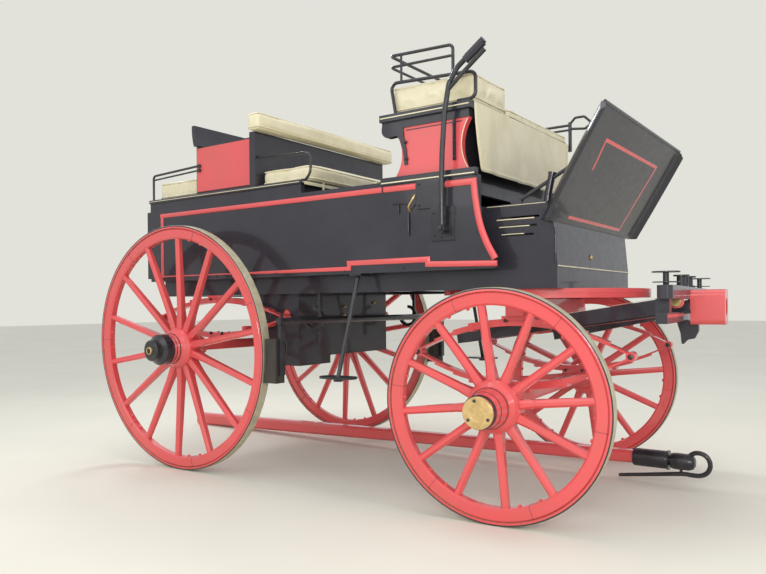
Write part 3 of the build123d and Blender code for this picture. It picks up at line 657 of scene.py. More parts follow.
def turned(profile: Sequence[tuple[float, float]] | Array, sides: int = 24) -> Array:
    """A turned form about +Z: each row is (radius cos angle, radius sin angle, height).

    Args:
        profile: The radius and height of each row.
        sides: How many points go round.

    Returns:
        The grid of the form.
    """
    radius, height = np.array(profile, float).T
    angle = np.arange(sides) * 2 * np.pi / sides
    flat = np.ones_like(angle)
    return np.stack([np.outer(radius, np.cos(angle)), np.outer(radius, np.sin(angle)), np.outer(height, flat)], -1)


def facing(place: Sequence[float], axis: Sequence[float]) -> Array:
    """The matrix that puts a form where it belongs.

    Args:
        place: Where the form's origin goes.
        axis: Where its +Z points.

    Returns:
        The 4x4 matrix.
    """
    z = unit(np.array(axis, float))
    near = np.array(UP if abs(z[2]) < 0.9 else AHEAD)
    x = unit(np.cross(near, z))
    matrix = np.eye(4)
    matrix[:3, 0], matrix[:3, 1], matrix[:3, 2], matrix[:3, 3] = x, np.cross(z, x), z, place
    return matrix


def moved(grid: Array, matrices: Array) -> Array:
    """A grid put in place by one matrix, or copied by a stack of them: rotation * point + shift.

    Args:
        grid: Points, in any number of rows and columns.
        matrices: One 4x4 matrix, or a stack of them.

    Returns:
        The moved grid, or a stack of its copies.
    """
    matrices = np.asarray(matrices)
    flat = grid.reshape(-1, 3)
    if matrices.ndim == 2:
        return (flat @ matrices[:3, :3].T + matrices[:3, 3]).reshape(grid.shape)
    turned_points = np.einsum("kij,nj->kni", matrices[:, :3, :3], flat) + matrices[:, None, :3, 3]
    return turned_points.reshape(len(matrices), *grid.shape)


def bolt_head(radius: float, height: float, sides: int = 12) -> Array:
    """A domed bolt head that is sunk a little into what it holds; with 6 sides it is a nut."""
    shape = np.array([(0.92, -0.5), (1.0, 0.0), (1.0, 0.5), (0.8, 0.85), (0.4, 1.0)])
    return turned(shape * (radius, height), sides)


def shifted(x: float, y: float, z: float) -> Array:
    """The 4x4 matrix of a plain move.

    Args:
        x: The move ahead.
        y: The move to the left.
        z: The move up.

    Returns:
        The matrix.
    """
    matrix = np.eye(4)
    matrix[:3, 3] = x, y, z
    return matrix


def about_z(angle: float) -> Array:
    """The 4x4 matrix of a turn about +Z.

    Args:
        angle: The turn in radians.

    Returns:
        The matrix.
    """
    matrix = np.eye(4)
    matrix[:2, :2] = [[math.cos(angle), -math.sin(angle)], [math.sin(angle), math.cos(angle)]]
    return matrix


def middle_of(node: str) -> Array:
    """The middle of a frame node's box."""
    low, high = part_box(node)
    return (np.array(low) + np.array(high)) / 2


AXLE_X = float(middle_of("rear_left_tyre")[0])
KINGPIN_X = 1.606
REST_TURN = math.radians(5.0)
ON_BODY = shifted(AXLE_X, 0.0, 0.0)
ON_FORE = shifted(AXLE_X + KINGPIN_X, 0.0, 0.0) @ about_z(REST_TURN) @ shifted(-KINGPIN_X, 0.0, 0.0)
FORE = "fore_carriage"
RIGHT = (0.0, -1.0, 0.0)
LEFT = (0.0, 1.0, 0.0)
UP = (0.0, 0.0, 1.0)
AHEAD = (1.0, 0.0, 0.0)


def drawn_on(body: str) -> Array:
    """The matrix from the drawing of a body's fittings, which starts at the rear axle, to the frame."""
    return ON_FORE if body == FORE else ON_BODY


class Piece:
    """Surfaces that are welded into one object, given a finish, and ride on a body."""

    made = 0
    weld = 2e-6

    def __init__(self, name: str, slot: Slot, body: str = "body", place: Array = ON_BODY, sharp: float = 42.0) -> None:
        """Start a piece.

        Args:
            name: The object's name.
            slot: Its finish.
            body: The frame's body that it rides on.
            place: The matrix from the drawing to the frame; a piece of the body is drawn from the rear axle.
            sharp: The angle in degrees above which an edge stays sharp.
        """
        self.name, self.slot, self.body, self.place, self.sharp = name, slot, body, place, sharp
        self.points: list[Array] = []
        self.faces: list[Array] = []
        self.count = 0

    def add(self, grid: Array, ends: bool = True) -> "Piece":
        """Add a grid of points whose rows close on themselves, or a stack of copies of one.

        Args:
            grid: Points (rows, columns, 3) or (copies, rows, columns, 3).
            ends: Whether the first and last rows are closed with a pole at their middle.

        Returns:
            The piece itself.
        """
        grid = grid[None] if grid.ndim == 3 else grid
        if ends:
            first = np.broadcast_to(grid[:, :1].mean(2, keepdims=True), grid[:, :1].shape)
            last = np.broadcast_to(grid[:, -1:].mean(2, keepdims=True), grid[:, -1:].shape)
            grid = np.concatenate([first, grid, last], axis=1)
        copies, rows, columns, _ = grid.shape
        index = np.arange(rows * columns).reshape(rows, columns)
        here, there = index, np.roll(index, -1, 1)
        quads = np.stack([here[:-1], there[:-1], there[1:], here[1:]], -1).reshape(-1, 4)
        start = self.count + np.arange(copies)[:, None, None] * rows * columns
        self.faces.append((quads[None] + start).reshape(-1, 4))
        self.points.append(moved(grid.reshape(-1, 3), self.place))
        self.count += copies * rows * columns
        return self

    def make(self, workshop: Workshop) -> bpy.types.Object:
        """Weld the surfaces, turn their normals outward, and put the object in the scene.

        Args:
            workshop: Where the finish comes from.

        Returns:
            The object.
        """
        mesh = bpy.data.meshes.new(self.name)
        mesh.from_pydata(np.concatenate(self.points), [], np.concatenate(self.faces))
        welded = bmesh.new()
        welded.from_mesh(mesh)
        bmesh.ops.remove_doubles(welded, verts=welded.verts, dist=self.weld)
        bmesh.ops.recalc_face_normals(welded, faces=welded.faces)
        welded.to_mesh(mesh)
        welded.free()
        mesh.shade_smooth()
        mesh.set_sharp_from_angle(angle=math.radians(self.sharp))
        mesh.materials.append(workshop.materials[self.slot])
        piece = bpy.data.objects.new(self.name, mesh)
        bpy.context.scene.collection.objects.link(piece)
        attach(piece, self.body)
        Piece.made += 1
        log.info("%s: %d faces", self.name, len(mesh.polygons))
        return piece


# Cushions and the leather fall


def vertex_rows(piece: bpy.types.Object, what: str = "co") -> Array:
    """The places of a piece's vertices, or what else is asked for.

    Args:
        piece: The object.
        what: Blender's name of the vertices' property.

    Returns:
        One row of x, y and z for each vertex.
    """
    values = np.empty(len(piece.data.vertices) * 3)
    piece.data.vertices.foreach_get(what, values)
    return values.reshape(-1, 3)


def set_vertices(piece: bpy.types.Object, points: Array) -> None:
    """Put a piece's vertices at the given points."""
    piece.data.vertices.foreach_set("co", points.ravel())
    piece.data.update()


@dataclass(frozen=True)
class Pad:
    """A stuffed cushion that takes the room of a plain block of the frame.

    Its outline is a rounded rectangle whose sides pull in between the corners. From the outline it
    rises over a rounded edge to a crown, neither of which takes up more than its share of the height.
    It is then remeshed and blown up as cloth, and kept flat where it rests. Its seams are piped after
    that. The block's corners can be moved, where the cushion is a little larger than the block.
    """

    name: str
    node: str
    crown: float = 0.018
    edge: float = 0.022
    pull: float = 0.007
    swell: float = 0.010
    fill: float = 0.75
    voxel: float = 0.008
    piping: float = 0.0034
    piped_heights: tuple[float, ...] = (0.14, 0.93)
    low_by: Point = (0.0, 0.0, 0.0)
    high_by: Point = (0.0, 0.0, 0.0)
    squareness: float = 0.1
    crown_power: float = 2.6
    most_crown: float = 0.4
    most_edge: float = 0.45
    foot_inset: float = 0.35
    foot_rise: float = 0.30
    cloth_mass: float = 0.4
    pressure: float = 4.0
    stretch: float = 12.0
    stiffness: float = 0.6
    steps: int = 20
    tuck: float = 0.9
    tuck_width: float = 0.009
    foot_gap: float = 0.0003
    headroom: float = 0.006

    def outline(self, count: int) -> tuple[Array, Array]:
        """The unit outline: a superellipse, x and y each a signed power of a cosine and a sine.

        Args:
            count: How many points go round.

        Returns:
            The x and the y of the points, each from -1 to 1.
        """
        x, y = circle(1.0, count).T
        return np.sign(x) * np.abs(x) ** self.squareness, np.sign(y) * np.abs(y) ** self.squareness

    def ring_at(self, low: Array, high: Array, inset: float, height: float, count: int = 200) -> Array:
        """One level loop of the shell: the outline at its size, less the inset and the pull of its sides.

        Args:
            low: The block's low corner.
            high: The block's high corner.
            inset: How far inside the outline the loop runs.
            height: The loop's height as a share of the block's.
            count: How many points go round.

        Returns:
            The loop's points.
        """
        x, y = self.outline(count)
        half = (high - low)[:2] / 2
        middle = (high + low)[:2] / 2
        pulled_x = (half[0] - inset) * x - np.sign(x) * self.pull * (1 - y ** 2)
        pulled_y = (half[1] - inset) * y - np.sign(y) * self.pull * (1 - x ** 2)
        z = np.full(count, low[2] + height * (high[2] - low[2]))
        return np.stack([middle[0] + pulled_x, middle[1] + pulled_y, z], -1)

    def shell(self, low: Array, high: Array) -> Array:
        """The form's rows, from its foot round its edge to the top of its crown.

        Args:
            low: The block's low corner.
            high: The block's high corner.

        Returns:
            The grid of the form.
        """
        tall = high[2] - low[2]
        crown = min(self.crown, tall * self.most_crown) / tall
        shoulder = 1 - crown
        edge = min(self.edge, tall * self.most_edge)
        bend = np.linspace(0, np.pi / 2, 7)
        under = [(edge * self.foot_inset * (1 - math.sin(b)), self.foot_rise * edge / tall * (1 - math.cos(b)))
                 for b in bend]
        over = [(edge * (1 - math.cos(b)), shoulder - edge / tall * (1 - math.sin(b))) for b in bend]
        rows = [self.ring_at(low, high, inset, height) for inset, height in under + over]
        last = rows[-1]
        centre = last.mean(0)
        inward = np.linspace(0.0, 0.97, 14)[1:, None, None]
        top = last[None] * (1 - inward) + centre * inward
        top[..., 2] += crown * tall * (1 - (1 - inward[..., 0]) ** self.crown_power)
        return np.concatenate([np.array(rows), top])

    def blown(self, piece: bpy.types.Object, base: float, ceiling: float) -> None:
        """Remesh the shell, blow it up as cloth without weight, limit how far it goes, and keep its foot flat.

        Args:
            piece: The shell's object.
            base: The lowest height that it may have.
            ceiling: The greatest height that it may have.
        """
        remesh = piece.modifiers.new("remesh", "REMESH")
        remesh.mode, remesh.voxel_size, remesh.use_smooth_shade = "VOXEL", self.voxel, True
        freeze(piece)
        start = vertex_rows(piece)
        cloth = piece.modifiers.new("cloth", "CLOTH").settings
        cloth.quality, cloth.mass, cloth.use_pressure = 5, self.cloth_mass, True
        cloth.uniform_pressure_force = self.pressure
        cloth.tension_stiffness = cloth.compression_stiffness = self.stretch
        cloth.bending_stiffness = self.stiffness
        cloth.effector_weights.gravity = 0.0
        scene = bpy.context.scene
        for step in range(1, self.steps + 1):
            scene.frame_set(step)
        freeze(piece)
        scene.frame_set(1)
        move = vertex_rows(piece) - start
        far = np.linalg.norm(move, axis=1, keepdims=True)
        end = start + move * np.minimum(1.0, self.swell / np.maximum(far, TINY))
        end[:, 2] = np.clip(end[:, 2], base, ceiling)
        set_vertices(piece, end)

    def tucked(self, piece: bpy.types.Object, seams: list[Array]) -> None:
        """Draw the leather in along each seam: every point moves in by a bell curve of its distance to the seam.

        Args:
            piece: The cushion's object.
            seams: The points of each seam.
        """
        points, normals = vertex_rows(piece), vertex_rows(piece, "normal")
        line = np.concatenate(seams)
        near = np.full(len(points), 1.0)
        for part in np.array_split(line, max(1, len(line) // 60)):
            near = np.minimum(near, np.linalg.norm(points[:, None] - part[None], axis=2).min(1))
        points -= normals * (self.piping * self.tuck * np.exp(-(near / self.tuck_width) ** 2))[:, None]
        set_vertices(piece, points)

    def make(self, workshop: Workshop) -> None:
        """Build the cushion and its piping, and put them in the place of the frame's block.

        Args:
            workshop: Where the finish comes from.
        """
        low, high = (np.array(corner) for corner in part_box(self.node))
        low, high = low + np.array(self.low_by), high + np.array(self.high_by)
        shell = Piece(self.name, Slot.CREAM_LEATHER, place=np.eye(4), sharp=180.0)
        piece = shell.add(self.shell(low, high)).make(workshop)
        self.blown(piece, low[2] + self.foot_gap, high[2] + self.headroom)
        seams = [on_surface(piece, self.ring_at(low, high, 0.0, height, 420)) for height in self.piped_heights]
        self.tucked(piece, seams)
        rounder = piece.modifiers.new("rounder", "SUBSURF")
        rounder.levels = rounder.render_levels = 1
        piping = Piece(f"{self.name}_piping", Slot.CREAM_LEATHER, place=np.eye(4), sharp=60.0)
        for seam in seams:
            piping.add(swept(seam, circle(self.piping, 8), UP, closed=True), ends=False)
        piping.make(workshop)
        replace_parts(piece, self.node)


def freeze(piece: bpy.types.Object) -> None:
    """Replace a piece's mesh by what its modifiers make of it, and take the modifiers off.

    Args:
        piece: The object.
    """
    graph = bpy.context.evaluated_depsgraph_get()
    mesh = bpy.data.meshes.new_from_object(piece.evaluated_get(graph), depsgraph=graph)
    material = piece.data.materials[0]
    piece.modifiers.clear()
    piece.data = mesh
    mesh.materials.clear()
    mesh.materials.append(material)
    mesh.shade_smooth()


def on_surface(piece: bpy.types.Object, line: Array) -> Array:
    """The nearest points of a piece's surface to a closed line's, evened out along it by weights 1, 2 and 1.

    Args:
        piece: The object.
        line: The line's points.

    Returns:
        As many points on the surface.
    """
    tree = BVHTree.FromObject(piece, bpy.context.evaluated_depsgraph_get())
    near = np.array([tree.find_nearest(Vector(point))[0] for point in line])
    return (np.roll(near, 1, 0) + 2 * near + np.roll(near, -1, 0)) / 4


@dataclass(frozen=True)
class Fall:
    """The leather that hangs in front of the driving seat: a thin closed sheet with a hem and stitches.

    Its half width follows the cut, pairs of height and half width from top to foot. It hangs a little
    forward of the board and waves in shallow upright flutes that grow towards its foot. Each wave has a
    size, a rate along y, a rate along z and a start.
    """

    cut: Profile = ((1.560, 0.488), (1.480, 0.480), (1.318, 0.444), (1.303, 0.438), (1.297, 0.425))
    face_x: float = 1.5105
    sag: float = 0.0035
    flute: float = 0.0022
    waves: tuple[tuple[float, float, float, float], ...] = (
        (1.0, 31.0, 0.0, 0.6), (0.6, 53.0, 0.0, 2.1), (0.4, 17.0, 40.0, 0.0))
    thick: float = 0.0030
    edge_share: float = 0.04
    columns: int = 140
    rows: int = 56
    hem: float = 0.015
    hem_crown: float = 0.0026
    hem_across: float = 0.983
    hem_foot: float = 1.3045
    hem_foot_half: float = 0.965
    hem_rise: tuple[float, float] = (1.556, 1.306)
    hem_steps: tuple[int, int] = (40, 90)
    roll: float = 0.0016
    roll_out: float = 0.0022
    stitch: Profile = ((0.0006, -0.0024), (0.0009, 0.0), (0.0006, 0.0024))
    stitch_across: float = 0.964
    stitch_out: float = 0.001
    stitches: int = 30

    def half_at(self, z: Array) -> Array:
        """The half width at a height."""
        heights, halves = np.array(self.cut[::-1]).T
        return np.interp(z, heights, halves)

    def front(self, across: Array, z: Array) -> Array:
        """Points of the front face: x is the hang plus flutes, a sum of sines of y and z that grows with the drop.

        Args:
            across: Places from -1 at the right edge to 1 at the left.
            z: Heights.

        Returns:
            The points.
        """
        drop = (self.cut[0][0] - z) / (self.cut[0][0] - self.cut[-1][0])
        y = across * self.half_at(z)
        wave = sum(size * np.sin(y * sideways + z * upward + start) for size, sideways, upward, start in self.waves)
        x = self.face_x + self.sag * drop + self.flute * drop ** 0.8 * wave
        return np.stack([x, y, z], -1)

    def upright(self, across: float, heights: Array) -> Array:
        """A line down the front face at one place across it."""
        return self.front(np.full(len(heights), across), heights)

    def make(self, workshop: Workshop) -> None:
        """Build the sheet, its hem and its stitches in the place of the frame's plain fall.

        Args:
            workshop: Where the finish comes from.
        """
        top, foot = self.cut[0][0], self.cut[-1][0]
        across, z = np.meshgrid(np.linspace(-1, 1, self.columns), np.linspace(top, foot, self.rows))
        face = self.front(across, z)
        share = np.linspace(0, 1, self.rows)
        thick = self.thick * np.clip(np.minimum(share, 1 - share) / self.edge_share, 0, 1) ** 0.5
        back = face[:, ::-1] - np.array(AHEAD) * thick[:, None, None]
        sheet = Piece("leather_fall", Slot.CREAM_LEATHER, sharp=180.0)
        fall = sheet.add(np.concatenate([face, back], 1), ends=False).make(workshop)
        rise = np.linspace(*self.hem_rise, self.hem_steps[0])
        run = np.linspace(-self.hem_foot_half, self.hem_foot_half, self.hem_steps[1])
        edge = np.concatenate([self.upright(-self.hem_across, rise),
                               self.front(run, np.full(len(run), self.hem_foot)),
                               self.upright(self.hem_across, rise[::-1])])
        hem = Piece("fall_hem", Slot.CREAM_LEATHER, sharp=50.0)
        hem.add(swept(edge, strip(self.hem, self.hem_crown), AHEAD))
        hem.add(swept(edge + np.array([self.roll_out, 0.0, 0.0]), circle(self.roll, 6), AHEAD))
        stitched = rise[:self.stitches]
        inner = np.concatenate([self.upright(-self.stitch_across, stitched),
                                self.upright(self.stitch_across, stitched[::-1])])
        places = [shifted(*(point + (self.stitch_out, 0.0, 0.0))) for point in inner]
        hem.add(moved(turned(self.stitch, 6), np.array(places)))
        made = hem.make(workshop)
        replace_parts(fall, "seat_fall")


# Wheels


@dataclass(frozen=True)
class WheelTrim:
    """The small things on one pair of wheels: painted bands, felloe joints, nuts, hoops and the cap's face.

    A wheel's own frame has its x ahead, its y up in the wheel's plane and its z out along the axle. A hoop
    or bead is given by its place along the axle, its radius and its width. The bands' two numbers say how
    far inside the wheel's radius they start and end.
    """

    end: End
    radius: float
    felloes: int
    first_joint: float
    hoops: Path
    tyre: float = 0.013
    felloe: float = 0.050
    half_tyre: float = 0.0225
    half_felloe: float = 0.0205
    bevel: float = 0.007
    joint_width: float = 0.0014
    joint_gap: float = 0.0002
    joint_sunk: float = 0.001
    paint_sunk: float = 0.0028
    paint_edge: float = 0.0002
    hoop_lift: float = 0.0022
    hoop_sunk: float = 0.002
    bands: tuple[tuple[str, Slot, float, float], ...] = (
        ("band", Slot.RED_PAINT, 0.0136, 0.0060), ("edges", Slot.BLACK_PAINT, 0.0060, 0.0012))
    proud: float = 0.0006
    nut: tuple[float, float] = (0.0075, 0.008)
    nut_from_joint: float = 0.040
    front_disc: Profile = (
        (0.0480, 0.1350), (0.0480, 0.1392), (0.0545, 0.1392), (0.0558, 0.1405), (0.0558, 0.1452), (0.0545, 0.1466),
        (0.0520, 0.1471), (0.0496, 0.1467), (0.0488, 0.1472), (0.0276, 0.1476), (0.0268, 0.1471), (0.0250, 0.1471),
        (0.0242, 0.1477), (0.0040, 0.1480))
    front_bolt: tuple[float, float] = (0.0060, 0.0040)
    front_bolt_at: Point = (0.0, 0.0425, 0.1472)
    front_bolt_turns: tuple[float, ...] = (-14.0, 118.0, 234.0)
    front_collar: Point = (0.1376, 0.0488, 0.0036)
    rear_end: Profile = (
        (0.0172, 0.1600), (0.0180, 0.1640), (0.0180, 0.1700), (0.0165, 0.1727), (0.0140, 0.1731), (0.0132, 0.1718),
        (0.003, 0.1718))
    rear_slot: Path = ((0.0, -0.011, 0.1722), (0.0, 0.011, 0.1722))
    rear_slot_section: tuple[float, float] = (0.0045, 0.0012)
    rear_beads: Path = ((0.0800, 0.0700, 0.005), (0.1140, 0.0700, 0.005), (0.1360, 0.0480, 0.005),
                        (0.1560, 0.0480, 0.005))

    def name(self, side: Side) -> str:
        """The wheel's end and side, as the frame names them."""
        return f"{self.end.value}_{side.name.lower()}"

    def place(self, side: Side) -> Array:
        """The matrix from the wheel's own frame to the carriage's.

        Args:
            side: Which of the two wheels.

        Returns:
            The 4x4 matrix.
        """
        joint = next(j for j in frame["joints"] if j["name"] == f"{self.name(side)}_wheel_turn")
        way = side.value
        out = unit(way * np.array(joint["axis"], float))
        up = unit(np.array(UP) - out[2] * out)
        matrix = np.eye(4)
        matrix[:3, 0], matrix[:3, 1], matrix[:3, 2] = -way * np.cross(up, out), up, out
        matrix[:3, 3] = joint["pos_m"]
        return matrix

    def spun(self, angles: Array) -> Array:
        """The matrices that turn a drawing from straight up to each angle, clockwise seen from the right.

        Args:
            angles: The turns in radians.

        Returns:
            A stack of 4x4 matrices.
        """
        matrices = np.repeat(np.eye(4)[None], len(angles), 0)
        c, s = np.cos(angles), np.sin(angles)
        matrices[:, 0, 0], matrices[:, 0, 1], matrices[:, 1, 0], matrices[:, 1, 1] = c, s, -s, c
        return matrices

    def edges(self, inner: float, outer: float) -> Array:
        """A painted band on each side of the tyre, as thin rings with a rounded rim.

        Args:
            inner: The band's inner radius.
            outer: Its outer radius.

        Returns:
            The grids of the two rings.
        """
        face = self.half_tyre
        sunk, over, rim = face - self.paint_sunk, face + self.proud, face - self.paint_edge
        ring = turned([(inner, sunk), (inner, over), (outer - 0.001, over), (outer, rim), (outer, rim - self.proud),
                       (inner, sunk)], 180)
        return np.stack([ring, ring * np.array([1.0, 1.0, -1.0])])

    def joints(self) -> Array:
        """The dark lines where the felloes meet, each a thin band bent round the felloe's section.

        Returns:
            A stack of bands, one for each joint.
        """
        rim = self.radius - self.tyre
        foot = rim - self.felloe
        top = rim + self.joint_sunk
        h, b, e = self.half_felloe + self.joint_gap, self.bevel, 1.5 * self.joint_gap
        section = [(top, h), (foot + b, h), (foot - e, h - b), (foot - e, b - h), (foot + b, -h), (top, -h)]
        path = np.array([(0.0, r, out) for r, out in section])
        return moved(swept(path, strip(self.joint_width, self.proud), AHEAD), self.spun(self.joint_angles()))

    def joint_angles(self) -> Array:
        """The angle of each felloe joint, midway between two spokes."""
        return np.radians(self.first_joint) + np.arange(self.felloes) * 2 * np.pi / self.felloes

    def nuts(self) -> Array:
        """The nuts of the tyre bolts, on the inside of the felloes beside each joint.

        Returns:
            A stack of nuts.
        """
        foot = self.radius - self.tyre - self.felloe
        to_hub = (0.0, -1.0, 0.0)
        nut = moved(bolt_head(*self.nut, sides=6), facing((0.0, foot, 0.0), to_hub))
        offset = self.nut_from_joint / foot
        angles = np.concatenate([self.joint_angles() - offset, self.joint_angles() + offset])
        return moved(nut, self.spun(angles))

    def hoop(self, out: float, radius: float, width: float) -> Array:
        """A hoop round the nave with rounded edges, half sunk in the wood.

        Args:
            out: Where its middle lies along the axle.
            radius: The nave's radius there.
            width: The hoop's width.

        Returns:
            The grid of the hoop.
        """
        half = width / 2
        lift = min(self.hoop_lift, width * 0.3)
        sunk, edge, top = radius - self.hoop_sunk, radius + lift * 0.6, radius + lift
        return turned([(sunk, out - half), (edge, out - half), (top, out - half * 0.7), (top, out + half * 0.7),
                       (edge, out + half), (sunk, out + half), (sunk, out - half)], 72)

    def make(self, workshop: Workshop) -> None:
        """Build the trim of both wheels.

        Args:
            workshop: Where the finishes come from.
        """
        for side in Side:
            name = self.name(side)
            start = partial(Piece, body=f"{name}_wheel", place=self.place(side))
            for what, slot, inner, outer in self.bands:
                ring = self.edges(self.radius - inner, self.radius - outer)
                start(f"{name}_tyre_{what}", slot).add(ring, ends=False).make(workshop)
            start(f"{name}_felloe_joints", Slot.BLACK_PAINT).add(self.joints()).make(workshop)
            start(f"{name}_tyre_nuts", Slot.RED_PAINT, sharp=30.0).add(self.nuts()).make(workshop)
            hoops = start(f"{name}_nave_hoops", Slot.BLACK_PAINT)
            for hoop in self.hoops:
                hoops.add(self.hoop(*hoop), ends=False)
            hoops.make(workshop)
            (self.front_cap if self.end is End.FRONT else self.rear_cap)(workshop, name, start)

    def front_cap(self, workshop: Workshop, name: str, start: Callable[..., Piece]) -> None:
        """A short cap with a turned face and three bolts, in the place of the frame's longer one.

        Args:
            workshop: Where the finishes come from.
            name: The wheel's end and side.
            start: Starts a piece on the wheel.
        """
        cap = start(f"{name}_cap_face", Slot.BRASS, sharp=25.0).add(turned(self.front_disc, 96)).make(workshop)
        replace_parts(cap, f"{name}_hub_cap")
        turns = self.spun(np.radians(self.front_bolt_turns))
        bolt = moved(bolt_head(*self.front_bolt), shifted(*self.front_bolt_at))
        start(f"{name}_cap_bolts", Slot.BLACK_IRON).add(moved(bolt, turns)).make(workshop)
        collar = start(f"{name}_cap_collar", Slot.BLACK_IRON)
        collar.add(self.hoop(*self.front_collar), ends=False).make(workshop)

    def rear_cap(self, workshop: Workshop, name: str, start: Callable[..., Piece]) -> None:
        """A brass end with a slot on the frame's cap, and the beads round the cap.

        Args:
            workshop: Where the finishes come from.
            name: The wheel's end and side.
            start: Starts a piece on the wheel.
        """
        start(f"{name}_cap_face", Slot.BRASS, sharp=25.0).add(turned(self.rear_end, 48)).make(workshop)
        slot = swept(np.array(self.rear_slot), strip(*self.rear_slot_section), UP)
        start(f"{name}_cap_slot", Slot.BLACK_IRON).add(slot).make(workshop)
        beads = start(f"{name}_cap_beads", Slot.BLACK_IRON)
        for bead in self.rear_beads:
            beads.add(self.hoop(*bead), ends=False)
        beads.make(workshop)


# Lining, edging and fastenings


class Fitting:
    """What the small fittings share: the body that they are drawn on, and a mirror image where both sides have one."""

    name: str
    slot: Slot
    body: str = "body"
    both: bool = False

    def piece(self, sharp: float = 42.0) -> Piece:
        """Start the fitting's piece, with the angle above which an edge stays sharp."""
        return Piece(self.name, self.slot, self.body, drawn_on(self.body), sharp)

    def mirrors(self) -> list[Array]:
        """What a point is multiplied by for each side that has the fitting."""
        return [np.array([1.0, way, 1.0]) for way in ((1.0, -1.0) if self.both else (1.0,))]


@dataclass(frozen=True)
class Line(Fitting):
    """A painted line or a thin edging that follows a path on a face."""

    name: str
    slot: Slot
    path: Path
    face: Point
    width: float
    height: float = 0.0008
    both: bool = False
    body: str = "body"

    def make(self, workshop: Workshop) -> None:
        """Build the line, and its mirror image where both sides have one.

        Args:
            workshop: Where the finish comes from.
        """
        piece = self.piece()
        section = strip(self.width, self.height)
        for mirror in self.mirrors():
            piece.add(swept(np.array(self.path) * mirror, section, np.array(self.face) * mirror))
        piece.make(workshop)


@dataclass(frozen=True)
class Bolts(Fitting):
    """A set of like bolt heads on one body."""

    name: str
    slot: Slot
    radius: float
    height: float
    axis: Point
    spots: Path
    both: bool = False
    sides: int = 12

    def make(self, workshop: Workshop) -> None:
        """Build the bolts, and their mirror images where both sides have them.

        Args:
            workshop: Where the finish comes from.
        """
        head = bolt_head(self.radius, self.height, self.sides)
        places = [facing(np.array(spot) * mirror, np.array(self.axis) * mirror)
                  for mirror in self.mirrors() for spot in self.spots]
        self.piece(35.0).add(moved(head, np.array(places))).make(workshop)


@dataclass(frozen=True)
class Rod(Fitting):
    """A small round rod, bent along a smooth line through its points."""

    name: str
    slot: Slot
    path: Path
    radius: float
    steps: int = 28

    def make(self, workshop: Workshop) -> None:
        """Build the rod, with its section set askew to the axes so that it never twists.

        Args:
            workshop: Where the finish comes from.
        """
        line = smooth_line(np.array(self.path), self.steps)
        run = unit(line[-1] - line[0])
        askew = (0.31, 0.95, 0.05) if abs(run[1]) < 0.8 else (0.9, 0.1, 0.4)
        self.piece().add(swept(line, circle(self.radius), np.array(askew))).make(workshop)


CREAM, RED, BLACK = Slot.CREAM_LEATHER, Slot.RED_PAINT, Slot.BLACK_PAINT
IRON, BRASS = Slot.BLACK_IRON, Slot.BRASS


def riser_edge(z: float) -> Point:
    """A point of the seat riser's curved front edge: its x is a parabola of the height."""
    return (1.4585 + 0.034 * ((z - 1.40) / 0.105) ** 2, 0.5003, z)


def level(rear: float, front: float, out: float, z: float) -> Path:
    """A level line along the left side."""
    return ((rear, out, z), (front, out, z))


def crossing(x: float, right: float, left: float, z: float) -> Path:
    """A level line straight across the carriage."""
    return ((x, right, z), (x, left, z))


LINES: tuple[Line, ...] = (
    Line("cap_rail_line", CREAM, level(1.098, 1.527, 0.5282, 1.279), LEFT, 0.0045, both=True),
    Line("seat_board_line", CREAM, level(1.090, 1.503, 0.5202, 1.5465), LEFT, 0.0045, both=True),
    Line("riser_edge_line", CREAM, tuple(riser_edge(z) for z in np.linspace(1.301, 1.494, 24)), LEFT, 0.0035,
         both=True),
    Line("riser_head_line", BLACK, level(1.205, 1.462, 0.5003, 1.488), LEFT, 0.0040, both=True),
    Line("bench_side_line", CREAM, level(-0.398, 0.652, 0.5302, 1.335), LEFT, 0.0026, both=True),
    Line("bench_front_line", CREAM, crossing(0.6652, -0.520, 0.520, 1.335), AHEAD, 0.0040),
    # A cream line along the boot's top edge: a painted highlight of the light that edge catches.
    Line("boot_top_line", CREAM, level(1.530, 1.770, 0.4303, 1.1550), LEFT, 0.0022, both=True),
    # Three cream strips on each side of the boot: painted highlights of the light caught on the louvres' lips.
    *(Line(f"louvre_lip_{which}", CREAM, level(rear, front, 0.4303, z), LEFT, width, 0.0018, both=True)
      for which, rear, front, z, width in (("high", 1.572, 1.725, 1.1020, 0.0042),
                                           ("middle", 1.582, 1.706, 1.0740, 0.0038),
                                           ("low", 1.592, 1.684, 1.0455, 0.0034))),
    Line("dash_line", RED, ((1.9086, -0.319, 1.2735), (1.9674, -0.338, 1.3733), (1.9674, 0.338, 1.3733),
                            (1.8112, 0.308, 1.1079), (1.8112, -0.309, 1.1079)), (0.862, 0.0, -0.507), 0.0130, 0.0009),
    Line("cushion_strap", CREAM, ((0.6656, -0.375, 1.352), (0.6656, -0.375, 1.292)), AHEAD, 0.0120, 0.0034),
    # A cream strip along the right half of the bench's front edge: a painted highlight of the light caught on the
    # bench's nosing.
    Line("cushion_valance", CREAM, crossing(0.6654, -0.508, -0.236, 1.3330), AHEAD, 0.0150, 0.0018),
    Line("toe_board_line", CREAM, crossing(1.8155, -0.428, 0.428, 0.9200), AHEAD, 0.0040),
    Line("futchell_line", CREAM, ((1.300, -0.206, 0.6675), (2.110, -0.400, 0.7950)), UP, 0.0050, both=True,
         body=FORE),
    Line("futchell_low_line", RED, ((1.300, -0.206, 0.6180), (2.110, -0.400, 0.7300)), UP, 0.0040, both=True,
         body=FORE),
    Line("lower_bar_line", RED, crossing(2.1562, -0.462, 0.462, 0.7340), AHEAD, 0.0110, body=FORE),
)

